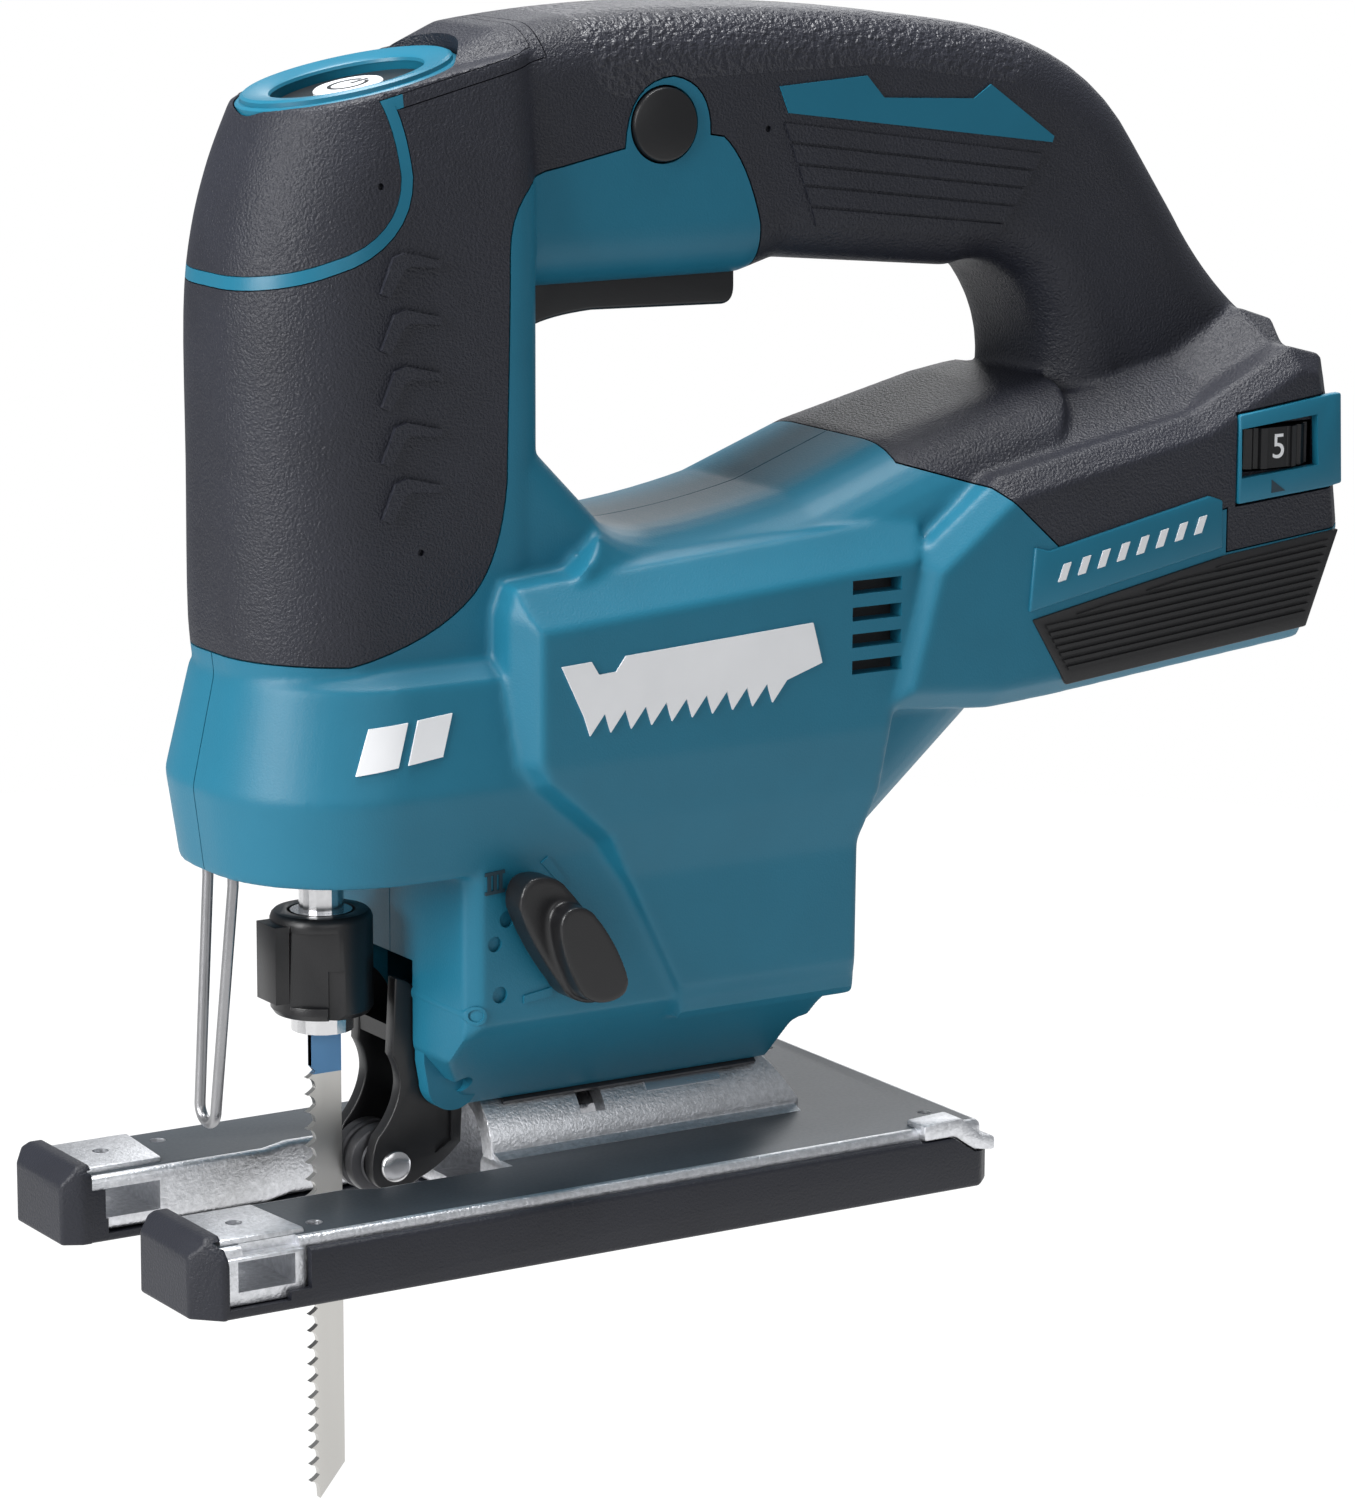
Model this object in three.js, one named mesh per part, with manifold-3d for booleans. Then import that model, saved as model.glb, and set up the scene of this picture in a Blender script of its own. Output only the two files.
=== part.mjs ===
// A cordless D-handle jigsaw, in millimetres.
// +X points to the rear of the tool, +Z up, and -Y is the tool's left side.
// The origin is on the underside of the base, at the middle of its length and width.

import * as THREE from 'three';
import { mergeVertices } from 'three/addons/utils/BufferGeometryUtils.js';
import Module from 'manifold-3d';

const wasm = await Module();
wasm.setup();

// ---------------------------------------------------------------- driving dimensions

const GAP = 0.3;                 // space left between pieces that touch
const WALL = 2.8;                // plastic shell
const COVER = 2.0;               // soft rubber overmould
const SPLIT = 0.1;               // half the seam between the two shell halves

const BASE = { front: -82.5, rear: 82.5, half: 38.5, plateTop: 12.2, hornTop: 13.2, slotHalf: 14.2 };
const FENCE = { front: -74.5, rear: -63.5, low: 4.4, high: 9.8 };   // slots for a rip fence
const BARREL = { axisZ: 12.5, outer: 12, inner: 8.5, front: -10, rearLow: 56, rearHigh: 49 };
const BOLT = { x: 12, r: 2.5, slot: 2.9 };
const SLIDE = 12;                // the base slides this far back for cuts close to a wall

const STROKE = 26;
const ROD = { x: -37.9, r: 4 };
const CRANK = { r: STROKE / 2, z: 70.2, front: -9.5, thick: 6, pinR: 2.6, rollerR: 4.5 };
const GEAR = { module: 1.2, wheel: 40, pinion: 8 };
const MOTOR_Z = CRANK.z + GEAR.module * (GEAR.wheel + GEAR.pinion) / 2;
const GUIDE = { pivotZ: 121.5, low: 74.5, lowTop: 81, high: 116.5, top: 127 };
const BRIDGE = { low: 94.8, top: 102.3 };   // joins the rod to its yoke
const BLADE = { front: -41.4, back: -34.5, tip: -50.1, top: 45, thick: 1.3, pitch: 3 };
const ROLLER = { x: -27.7, z: 12.5, r: 6.5 };
const FORK_PIVOT = { x: -17.6, z: 27.6 };
const EAR = { inner: 8.2, outer: 11.6, r: 5.3 };
const LEVER = { x: -5.5, z: 53.5 };
const GUARD = { x: -60.6, y: 3.8, top: 75, low: 22.5, wire: 1 };

const COLUMN = { front: -59.2, rear: -4, half: 23 };
const HANDLE_HALF = 17.5;
const SHOE_HALF = 37.4;
const LOCK = { x: 22.5, z: 197, r: 6.6 };
const PANEL = { x: -31.2, z: 205.8, tilt: -0.207 };   // top button panel, rising to the rear
const DIAL = { x: 145, z: 132.8, y: -25.2, r: 13, thick: 7.6 };
const BAY = { front: 84, rear: 170, half: 29, top: 105 };

// ---------------------------------------------------------------- materials

const paint = (color, roughness, metalness = 0) => () =>
  new THREE.MeshStandardMaterial({ color, roughness, metalness });
const teal = paint(0x14718a, 0.5);
const rubber = paint(0x26282c, 0.8);
const black = paint(0x1b1c1e, 0.55);
const castAluminium = paint(0xa9abad, 0.45, 0.9);
const steel = paint(0xb9babb, 0.3, 1);
const darkSteel = paint(0x3a3b3d, 0.4, 0.9);
const copper = paint(0xb07a3c, 0.35, 1);
const board = paint(0x1f5a3a, 0.5);

// ---------------------------------------------------------------- solids

function solid(geometry) {
  const bare = geometry.clone();
  bare.deleteAttribute('normal');
  bare.deleteAttribute('uv');
  const merged = mergeVertices(bare, 1e-4);
  return new wasm.Manifold(new wasm.Mesh({
    numProp: 3,
    vertProperties: new Float32Array(merged.attributes.position.array),
    triVerts: new Uint32Array(merged.index.array),
  }));
}

function geometryOf(body) {
  const mesh = body.getMesh();
  const geometry = new THREE.BufferGeometry();
  geometry.setAttribute('position', new THREE.BufferAttribute(new Float32Array(mesh.vertProperties), 3));
  geometry.setIndex(new THREE.BufferAttribute(new Uint32Array(mesh.triVerts), 1));
  return geometry;
}

const join = (...bodies) => bodies.reduce((sum, body) => sum.add(body));
const cut = (body, ...tools) => tools.reduce((rest, tool) => rest.subtract(tool), body);

// Outlines are lists of [u, v] corners; [u, v, cu, cv] reaches [u, v] by a curve bent towards [cu, cv].
function shapeOf(points) {
  const shape = new THREE.Shape();
  points.forEach(([u, v, cu, cv], i) => {
    if (i === 0) {
      shape.moveTo(u, v);
    } else if (cu === undefined) {
      shape.lineTo(u, v);
    } else {
      shape.quadraticCurveTo(cu, cv, u, v);
    }
  });
  return shape;
}

const AXES = {
  x: new THREE.Matrix4().set(0, 0, 1, 0, 1, 0, 0, 0, 0, 1, 0, 0, 0, 0, 0, 1),
  y: new THREE.Matrix4().set(1, 0, 0, 0, 0, 0, -1, 0, 0, 1, 0, 0, 0, 0, 0, 1),
  z: new THREE.Matrix4(),
};

// Extrudes an outline between two places on an axis: x takes a YZ outline, y an XZ one, z an XY one.
function prism(axis, points, low, high, steps = 4) {
  const flat = new THREE.ExtrudeGeometry(shapeOf(points), {
    depth: high - low, bevelEnabled: false, curveSegments: steps,
  });
  flat.translate(0, 0, axis === 'y' ? -high : low);
  return solid(flat.applyMatrix4(AXES[axis]));
}

// Moves each corner of a counter-clockwise outline towards its inside.
function shrink(points, distance) {
  return points.map((point, i) => {
    const before = points[(i + points.length - 1) % points.length];
    const after = points[(i + 1) % points.length];
    const into = point.clone().sub(before).normalize();
    const out = after.clone().sub(point).normalize();
    const normal = new THREE.Vector2(-into.y - out.y, into.x + out.x).normalize();
    const miter = Math.min(1 / Math.max(normal.dot(new THREE.Vector2(-into.y, into.x)), 0.5), 2);
    return point.clone().addScaledVector(normal, distance * miter);
  });
}

// A side-view outline with rounded edges, as wide as half on each side of the middle plane.
function pillow(outlinePoints, half, round, inset = 0) {
  const corners = shapeOf(outlinePoints).getPoints(3);
  if (corners[0].distanceTo(corners.at(-1)) < 1e-6) {
    corners.pop();
  }
  if (THREE.ShapeUtils.isClockWise(corners)) {
    corners.reverse();
  }
  const nearRings = [];
  for (let i = 0; i <= round.steps; i += 1) {
    const a = (i / round.steps) * Math.PI / 2;
    nearRings.push([-(half - inset) + round.y * (1 - Math.cos(a)), round.edge * (1 - Math.sin(a))]);
  }
  const rings = nearRings.concat(nearRings.slice().reverse().map(([y, e]) => [-y, e]));
  const vertices = rings.flatMap(([y, e]) => shrink(corners, e + inset).flatMap((c) => [c.x, y, c.y]));
  const count = corners.length;
  const faces = [];
  for (let level = 0; level < rings.length - 1; level += 1) {
    for (let i = 0; i < count; i += 1) {
      const j = (i + 1) % count;
      const low = level * count;
      const high = low + count;
      faces.push(low + i, high + i, high + j, low + i, high + j, low + j);
    }
  }
  const last = (rings.length - 1) * count;
  for (const [p, q, r] of THREE.ShapeUtils.triangulateShape(corners, [])) {
    faces.push(p, q, r, last + r, last + q, last + p);
  }
  const geometry = new THREE.BufferGeometry();
  geometry.setAttribute('position', new THREE.Float32BufferAttribute(vertices, 3));
  geometry.setIndex(faces);
  return solid(geometry);
}

function box(x0, x1, y0, y1, z0, z1) {
  const geometry = new THREE.BoxGeometry(x1 - x0, y1 - y0, z1 - z0);
  geometry.translate((x0 + x1) / 2, (y0 + y1) / 2, (z0 + z1) / 2);
  return solid(geometry);
}

function rod(axis, r, low, high, a, b, sides = 18) {
  const geometry = new THREE.CylinderGeometry(r, r, high - low, sides);
  if (axis === 'x') {
    geometry.rotateZ(Math.PI / 2);
    geometry.translate((low + high) / 2, a, b);
  } else if (axis === 'y') {
    geometry.translate(a, (low + high) / 2, b);
  } else {
    geometry.rotateX(Math.PI / 2);
    geometry.translate(a, b, (low + high) / 2);
  }
  return solid(geometry);
}

// Skins rings with equal counts of [x, y, z] points, first ring lowest.
function loft(rings) {
  const count = rings[0].length;
  const vertices = rings.flat(2);
  const faces = [];
  for (let level = 0; level < rings.length - 1; level += 1) {
    for (let i = 0; i < count; i += 1) {
      const j = (i + 1) % count;
      const a = level * count;
      const b = a + count;
      faces.push(a + i, a + j, b + j, a + i, b + j, b + i);
    }
  }
  const top = (rings.length - 1) * count;
  for (let i = 1; i < count - 1; i += 1) {
    faces.push(0, i + 1, i, top, top + i, top + i + 1);
  }
  const geometry = new THREE.BufferGeometry();
  geometry.setAttribute('position', new THREE.Float32BufferAttribute(vertices, 3));
  geometry.setIndex(faces);
  return solid(geometry);
}

// A plan-view section with a round nose: the ring's height may lean with x.
function noseRing(front, rear, half, noseX, noseY, rearR, height) {
  const points = [];
  const steps = 4;
  for (let i = 0; i <= steps; i += 1) {
    const a = (i / steps) * Math.PI / 2;
    points.push([front + noseX * (1 - Math.cos(a)), -(half - noseY) - noseY * Math.sin(a)]);
  }
  for (let i = 0; i <= 2; i += 1) {
    const a = (i / 2) * Math.PI / 2;
    points.push([rear - rearR * (1 - Math.sin(a)), -half + rearR * (1 - Math.cos(a))]);
  }
  const mirrored = points.slice().reverse().map(([x, y]) => [x, -y]);
  return points.concat(mirrored).map(([x, y]) => [x, y, height(x)]);
}

// ---------------------------------------------------------------- outer form
// Each zone of the body takes an inset, so the same form gives the shell's outside,
// the underside of the rubber and the inside of the shell.

const flatAt = (z) => () => z;
const panelPlane = (x) => PANEL.z - PANEL.tilt * (x - PANEL.x);

function columnZone(inset) {
  const ring = (front, rear, half, nose, height) =>
    noseRing(front + inset, rear - inset, half - inset, nose, nose - 1, 7, height);
  return loft([
    ring(-57.8, -4, COLUMN.half - 0.6, 20, flatAt(100)),
    ring(COLUMN.front, COLUMN.rear, COLUMN.half, 20, flatAt(112)),
    ring(COLUMN.front, COLUMN.rear, COLUMN.half, 20, flatAt(166)),
    ring(-57.6, -3.8, COLUMN.half - 0.4, 19.5, flatAt(180)),
    ring(-54.4, -3.4, COLUMN.half - 1.6, 18.5, flatAt(192)),
    ring(-50.6, -3, COLUMN.half - 4, 17, (x) => panelPlane(x) - inset),
  ]);
}

function headZone(inset) {
  const ring = (front, half, z) =>
    noseRing(front + inset, -4 - inset, half - inset, 25, half - inset - 4, 2, flatAt(z));
  return loft([
    ring(-60.9, 28.4, 69 + inset),
    ring(-62.9, 30.8, 84.5),
    ring(-58.6, 27.6, 103.6 - inset / 2),
    ring(-57.8, 22.6, 106.6 - inset),
  ]);
}

const handleOutline = [
  [-30, 205], [-8, 214.6], [28, 217, 10, 217], [93, 211.4, 64, 216.6], [129, 189, 118, 206.5],
  [138.6, 175], [156, 155, 146, 163], [156, 140], [108, 138], [103.4, 164, 113, 152],
  [88, 167.4, 96, 170], [49.6, 171.2], [42, 169], [-3.8, 169], [-30, 172],
];
const barrelOutline = [
  [-34, 152], [-34, 62], [60, 62], [100, 96], [112, 120], [109, 146], [99.3, 144.5],
  [70.6, 137.6], [48.8, 129.6], [19.9, 125.3], [7.8, 129.2], [-4.6, 141.8], [-12, 152],
];
const bulgeOutline = [
  [-14.2, 112.7], [-14.2, 88.8], [-11.6, 85], [2.7, 74.4], [8.9, 65.5], [8.9, 44], [55.5, 44],
  [56.1, 66.6], [60.2, 75.6], [65.3, 102.8], [66.1, 117.1], [64.1, 117.7],
];
const shoeOutline = [
  [58.2, 91], [82.4, 89], [95.8, 89.9], [153.7, 95.4], [162.6, 115.6], [160, 137],
  [157.6, 149], [150, 153.5], [127.6, 141], [84, 131.5], [66, 118],
];

function lowerZone(inset) {
  const side = 30 - inset;
  const flare = inset * Math.SQRT2;
  const section = [
    [-side, 76], [-side, 44 + flare / 2], [-26.7 + inset / 2, 39.8 + flare], [-9, 22.1 + flare],
    [9, 22.1 + flare], [26.7 - inset / 2, 39.8 + flare], [side, 44 + flare / 2], [side, 76],
  ];
  const plan = [
    [-24 + inset, -26.4 + inset], [-20 + inset, -31 + inset], [56 - inset, -31 + inset],
    [56 - inset, 31 - inset], [-20 + inset, 31 - inset], [-24 + inset, 26.4 - inset],
  ];
  const front = [
    [-24 + inset, 90], [-24 + inset, 34 + flare], [-14 + inset, 22 + inset],
    [52 - inset, 22 + inset], [56 - inset, 36], [56 - inset, 90],
  ];
  return prism('x', section, -30, 60)
    .intersect(prism('z', plan, 10, 90))
    .intersect(prism('y', front, -40, 40));
}

// Two ears hold the roller fork's pin, with webs up to the body.
function ears() {
  return join(...[-1, 1].map((side) => {
    const low = Math.min(side * EAR.inner, side * EAR.outer);
    const high = low + EAR.outer - EAR.inner;
    return join(
      rod('y', EAR.r, low, high, FORK_PIVOT.x, FORK_PIVOT.z, 28),
      prism('y', [
        [FORK_PIVOT.x - EAR.r, FORK_PIVOT.z], [FORK_PIVOT.x + EAR.r, FORK_PIVOT.z],
        [FORK_PIVOT.x + EAR.r + 5, 41], [-23.6, 41], [-23.6, 31.6],
      ], low, high),
    );
  }));
}

function formOf(inset) {
  return join(
    columnZone(inset),
    headZone(inset),
    pillow(handleOutline, HANDLE_HALF, { edge: 10, y: 9, steps: 2 }, inset),
    pillow(barrelOutline, 30, { edge: 12, y: 16, steps: 2 }, inset),
    pillow(bulgeOutline, 33.6, { edge: 3, y: 3.4, steps: 1 }, inset),
    pillow(shoeOutline, SHOE_HALF, { edge: 4, y: 4, steps: 1 }, inset),
    lowerZone(inset),
  );
}

// The rubber covers the front of the column, the handle, the rear leg and the roof of the shoe.
const rubberOutline = [
  [-70, 108.5], [-43.6, 107.3], [-17.8, 118.5, -25, 111], [-10.5, 137.2, -12, 124], [-9.1, 184.9],
  [14.5, 193.6, -6, 191], [24.5, 205.4, 15, 205], [32.2, 194.8, 32.4, 204], [35, 194.3],
  [42.8, 178.5, 40, 190], [44.5, 165], [69, 165], [69, 134], [82.4, 129.8], [96.1, 117.5],
  [101.8, 115.7], [134, 122.4], [134, 141], [159.6, 143.5], [180, 143.5], [180, 230], [-70, 230],
];
const crownOutline = [
  [-70, 173], [-46.2, 177.3, -56, 173.6], [-32.5, 191, -33, 181], [-35.3, 203.8, -33, 199],
  [-3.6, 211.4], [-8, 240], [-70, 240],
];

const outer = formOf(0);
const underRubber = formOf(COVER);
const underRubberClear = formOf(COVER + GAP);
const cavity = formOf(WALL + COVER + GAP).add(
  formOf(WALL).intersect(box(-30, 83, -60, 60, 30, 104)),
);
// An outline swept across the whole width, grown by a margin all round.
function region(points, margin = 0) {
  const corners = shapeOf(points).getPoints(4);
  if (THREE.ShapeUtils.isClockWise(corners)) {
    corners.reverse();
  }
  return prism('y', shrink(corners, -margin).map((c) => [c.x, c.y]), -60, 60);
}

const rubberRegion = region(rubberOutline);
const rubberGrown = region(rubberOutline, GAP);
const crownRegion = region(crownOutline);
const crownGrown = region(crownOutline, GAP);

// Openings that pass through both the rubber and the shell.
const lockHole = rod('y', LOCK.r + 0.4, -40, 40, LOCK.x, LOCK.z);
const triggerSlot = box(-1.5, 44, -9.6, 9.6, 158, 186);
const bay = join(
  box(BAY.front, BAY.rear, -BAY.half, BAY.half, 98, BAY.top),
  box(BAY.front, BAY.rear, -BAY.half + 5, BAY.half - 5, 80, 98.2),
);
const dialWell = join(
  rod('z', DIAL.r + 0.6, DIAL.z - 4.4, DIAL.z + 4.4, DIAL.x, DIAL.y, 32),
  box(DIAL.x - 9.3, DIAL.x + 9.3, -45, DIAL.y, DIAL.z - 4.4, DIAL.z + 4.4),
);
const bezelPocket = prism('y', [
  [135.2, 122.3], [157.2, 124], [160.5, 124.5], [159.8, 142.6], [157, 142.4], [135.2, 140],
], -60, -SHOE_HALF + 1.6);
function tiltedDisc(rx, ry, low, high, sides = 28) {
  const geometry = new THREE.CylinderGeometry(1, 1, high - low, sides);
  geometry.rotateX(Math.PI / 2);
  geometry.scale(rx, ry, 1);
  geometry.translate(0, 0, (low + high) / 2);
  geometry.rotateY(PANEL.tilt);
  geometry.translate(PANEL.x, 0, PANEL.z);
  return solid(geometry);
}

// The button panel sits in a well in the top of the column.
const buttonWell = tiltedDisc(20.5, 18.1, -2.9, 20);

// ---------------------------------------------------------------- shell, rubber and trim

function guideBosses() {
  const bosses = [-1, 1].map((side) => box(
    ROD.x - 5.5, ROD.x + 5.5, Math.min(side * 14, side * 21), Math.max(side * 14, side * 21),
    GUIDE.pivotZ - 5.5, GUIDE.pivotZ + 5.5,
  ));
  return cut(join(...bosses), rod('y', 2.9, -30, 30, ROD.x, GUIDE.pivotZ));
}

function motorSaddles() {
  const saddles = [15, 39].map((x) => cut(
    box(x, x + 5, -32, 32, 90, 108),
    rod('x', 22.4, 0, 60, 0, MOTOR_Z, 32),
  ));
  return join(...saddles);
}

const interior = join(guideBosses(), motorSaddles()).intersect(formOf(COVER + GAP + 1.2));

const shell = cut(
  join(outer.subtract(rubberGrown), underRubberClear).subtract(cavity).add(interior).add(ears()),
  crownGrown.subtract(formOf(COVER + GAP)),
  lockHole,
  triggerSlot,
  bay,
  rod('x', 13.5, -40, 80, 0, BARREL.axisZ, 48),
  rod('z', BOLT.slot, 10, 60, BOLT.x, 0),
  box(-50.5, -26.8, -12.4, 12.4, 60, 74),
  box(-30, -11.5, -EAR.inner, EAR.inner, 10, 50),
  rod('y', 1.9, -EAR.outer - 5, EAR.outer + 5, FORK_PIVOT.x, FORK_PIVOT.z),
  box(-50.5, -24.5, -12.4, 12.4, 66, 82),
  buttonWell,
  tiltedDisc(18, 15.8, -7, 20),
  box(48.4, 65.6, -29.7, 29.7, 95.4, 116.2),
  ventSlots(),
  rod('x', 22.4, 13.6, 46.4, 0, MOTOR_Z, 32),
  box(4.7, 19.3, -7.3, 7.3, 27.1, 32.7),
  rod('x', GEAR.module * 21.4, CRANK.front - 8, 2, 0, CRANK.z, 40),
  box(-21, -13, -24, 24, 43, 97.5),
  rod('z', 1.3, 60, 76, GUARD.x, GUARD.y, 12),
  rod('z', 1.3, 60, 76, GUARD.x, -GUARD.y, 12),
);

function ventSlots() {
  const slots = [];
  for (let row = 0; row < 4; row += 1) {
    const z = 98.6 + row * 4.85;
    slots.push(box(51.6, 61.8, -40, 40, z, z + 2.45));
  }
  return join(...slots);
}

// The right half mirrors the left one; the dial and the lever are on the left only.
const leftSpace = box(-120, 220, -80, -SPLIT, -80, 260);
const plainShell = shell.intersect(leftSpace);
const plainRubber = cut(
  outer.intersect(rubberRegion).subtract(underRubber),
  underRubberClear.translate([0, -GAP, 0]),
  underRubberClear.translate([0, 0, GAP]),
  crownGrown,
  buttonWell,
  lockHole,
  triggerSlot,
).intersect(leftSpace);
const leverHole = rod('y', 3.3, -40, -20, LEVER.x, LEVER.z);

const crownCap = () => cut(
  outer.intersect(crownRegion).subtract(underRubber),
  buttonWell,
);
const buttonBezel = () => tiltedDisc(20.2, 17.8, -2.6, 0).subtract(tiltedDisc(14.4, 12.2, -9, 3));
const buttonPanel = () => tiltedDisc(14, 11.8, -3.4, -1.6).subtract(tiltedDisc(7, 7, -9, 3));
const powerButton = () => tiltedDisc(6.6, 6.6, -4.6, -0.7);

const speedBezel = () => cut(
  prism('y', [
    [135.6, 122.8], [157, 124.4], [160, 124.9], [159.3, 142.1], [157, 142], [135.6, 139.5],
  ], -SHOE_HALF - 0.5, -SHOE_HALF + 1.3),
  box(DIAL.x - 9.1, DIAL.x + 9.1, -45, -30, DIAL.z - 4.3, DIAL.z + 4.3),
);

function speedDial() {
  const ribs = [];
  for (let i = 0; i < 24; i += 1) {
    const a = (i / 24) * Math.PI * 2;
    const b = ((i + 0.5) / 24) * Math.PI * 2;
    ribs.push([DIAL.x + DIAL.r * Math.cos(a), DIAL.y + DIAL.r * Math.sin(a)]);
    ribs.push([DIAL.x + (DIAL.r - 0.5) * Math.cos(b), DIAL.y + (DIAL.r - 0.5) * Math.sin(b)]);
  }
  return prism('z', ribs, DIAL.z - DIAL.thick / 2, DIAL.z + DIAL.thick / 2);
}

const badgeOutline = [
  [89.5, 118.8], [92.8, 117.9], [128.9, 125], [132, 123.9], [132.2, 115], [88.4, 106.9],
];
const ribbedOutline = [
  [89.2, 105.4], [132.6, 113.4], [155, 115.8], [159.6, 116.2], [152.4, 98.2], [97, 92.6],
];

// A thin plate on the side of the shoe.
function sidePlate(points, side, thick) {
  const inner = SHOE_HALF + 0.05;
  const low = side < 0 ? -inner - thick : inner;
  return prism('y', points, low, low + thick);
}

// ---------------------------------------------------------------- battery connection

const railHalf = 28.4;
const batteryRail = () => cut(
  box(BAY.front + 1, 151, -railHalf, railHalf, 100.6, 104.4),
  box(94, 140, -20, 20, 100, 102.4),
  box(90, 120, -9.4, 9.4, 90, 110),
);
const terminalBlock = () => cut(
  box(91, 119, -9, 9, 93, 104.2),
  box(98, 122, -6.6, -4.2, 90, 101),
  box(98, 122, 4.2, 6.6, 90, 101),
);
const contactBlade = (side) => box(99, 117, side * 5.4 - 0.5, side * 5.4 + 0.5, 94, 100.6);

// ---------------------------------------------------------------- motor, gears and crank

function gearOutline(teeth, tipGain, rootLoss, width) {
  const pitchR = GEAR.module * teeth / 2;
  const step = (Math.PI * 2) / teeth;
  const points = [];
  for (let i = 0; i < teeth; i += 1) {
    const mid = i * step;
    for (const [r, share] of [
      [pitchR - rootLoss, -width.root], [pitchR + tipGain, -width.tip],
      [pitchR + tipGain, width.tip], [pitchR - rootLoss, width.root],
    ]) {
      const a = mid + share * step;
      points.push([r * Math.cos(a), r * Math.sin(a)]);
    }
  }
  return points;
}

const turned = (points, angle, y, z) => points.map(([u, v]) => [
  y + u * Math.cos(angle) - v * Math.sin(angle),
  z + u * Math.sin(angle) + v * Math.cos(angle),
]);

const wheelTeeth = gearOutline(GEAR.wheel, 0.95, 1.35, { root: 0.3, tip: 0.1 });
const pinionTeeth = gearOutline(GEAR.pinion, 1.0, 1.3, { root: 0.22, tip: 0.1 });

// The wheel has a tooth pointing straight up, and the pinion a gap pointing straight down.
const crankGear = () => join(
  prism('x', turned(wheelTeeth, Math.PI / 2, 0, CRANK.z), CRANK.front, CRANK.front + CRANK.thick),
  rod('x', 3, CRANK.front + CRANK.thick - 1, 8, 0, CRANK.z),
  rod('x', 7, CRANK.front + CRANK.thick - 1, CRANK.front + CRANK.thick + 2, 0, CRANK.z),
  rod('x', CRANK.pinR, -18, CRANK.front + 1, CRANK.r, CRANK.z),
);
const crankRoller = () => rod('x', CRANK.rollerR, -17.8, -14.4, CRANK.r, CRANK.z)
  .subtract(rod('x', CRANK.pinR + 0.05, -20, -10, CRANK.r, CRANK.z));
const pinion = () => prism(
  'x', turned(pinionTeeth, -Math.PI / 2 + Math.PI / GEAR.pinion, 0, MOTOR_Z), -10, -3.4,
);

function ring(axis, outerR, innerR, low, high, a, b, sides = 24) {
  const outside = rod(axis, outerR, low, high, a, b, sides);
  return outside.subtract(rod(axis, innerR, low - 1, high + 1, a, b, sides));
}

const rotorShaft = () => rod('x', 2.5, -3.1, 66, 0, MOTOR_Z);
const rotorCore = () => ring('x', 11.6, 2.6, 16, 44, 0, MOTOR_Z);
function stator() {
  const slots = [];
  for (let i = 0; i < 6; i += 1) {
    const a = (i / 6) * Math.PI * 2;
    slots.push(rod('x', 3.4, 10, 50, 16.2 * Math.cos(a), MOTOR_Z + 16.2 * Math.sin(a), 12));
  }
  return cut(ring('x', 22, 12.3, 14, 46, 0, MOTOR_Z, 40), ...slots);
}
function fan() {
  const blades = [];
  for (let i = 0; i < 9; i += 1) {
    const a = (i / 9) * Math.PI * 2;
    const blade = new THREE.BoxGeometry(6, 14, 1);
    blade.translate(53, 12, 0);
    blade.rotateX(a);
    blade.translate(0, 0, MOTOR_Z);
    blades.push(solid(blade));
  }
  return cut(
    join(rod('x', 6, 49, 56, 0, MOTOR_Z), rod('x', 19.4, 49, 50.6, 0, MOTOR_Z, 36), ...blades),
    rod('x', 2.6, 40, 60, 0, MOTOR_Z),
  );
}

const frontBearing = () => ring('x', 7.5, 2.6, 2.4, 7, 0, MOTOR_Z);
const rearBearing = () => ring('x', 6.5, 2.6, 60, 65, 0, MOTOR_Z);
const crankBearing = () => ring('x', 6.4, 3.1, 2.4, 6.8, 0, CRANK.z);
const gearCase = () => cut(
  prism('x', [
    [-24, 62], [-12, 50], [12, 50], [24, 62], [24, 100], [14, 115.5], [-14, 115.5], [-24, 100],
  ], 2.3, 7.2),
  rod('x', 7.8, 0, 10, 0, MOTOR_Z, 32),
  rod('x', 6.7, 0, 10, 0, CRANK.z, 32),
);
const rearBracket = () => cut(
  box(60.2, 64.8, -14, 14, 90, 108),
  rod('x', 6.8, 50, 70, 0, MOTOR_Z, 32),
);

// ---------------------------------------------------------------- plunger and its guide

const plungerGuide = () => cut(
  join(
    box(ROD.x - 6, ROD.x + 6, -11.8, 11.8, GUIDE.low, GUIDE.top),
    rod('y', 2.6, -16.2, 16.2, ROD.x, GUIDE.pivotZ),
  ),
  box(ROD.x - 8, ROD.x + 8, -8.4, 8.4, GUIDE.lowTop, GUIDE.high),
  rod('z', ROD.r + 0.05, 60, 140, ROD.x, 0),
);
const dustSeal = () => ring('z', 7, ROD.r + 0.4, GUIDE.low - 1.6, GUIDE.low - 0.3, ROD.x, 0);
const plungerRod = () => rod('z', ROD.r, 50.4, 139, ROD.x, 0).subtract(
  box(ROD.x - 2.4, ROD.x + 8, -9, 9, BRIDGE.low - 0.3, BRIDGE.top + 0.3),
);
const yoke = () => cut(
  join(
    box(-18.5, -14, -22.4, 22.4, CRANK.z - 12.9, CRANK.z + 12.9),
    box(-18.5, -14, -7, 7, CRANK.z + 12, BRIDGE.top),
    box(ROD.x - 2.1, -16, -6, 6, BRIDGE.low, BRIDGE.top),
  ),
  box(-22, -10, -18, 18, CRANK.z - 7.9, CRANK.z + 7.9),
);

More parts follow.
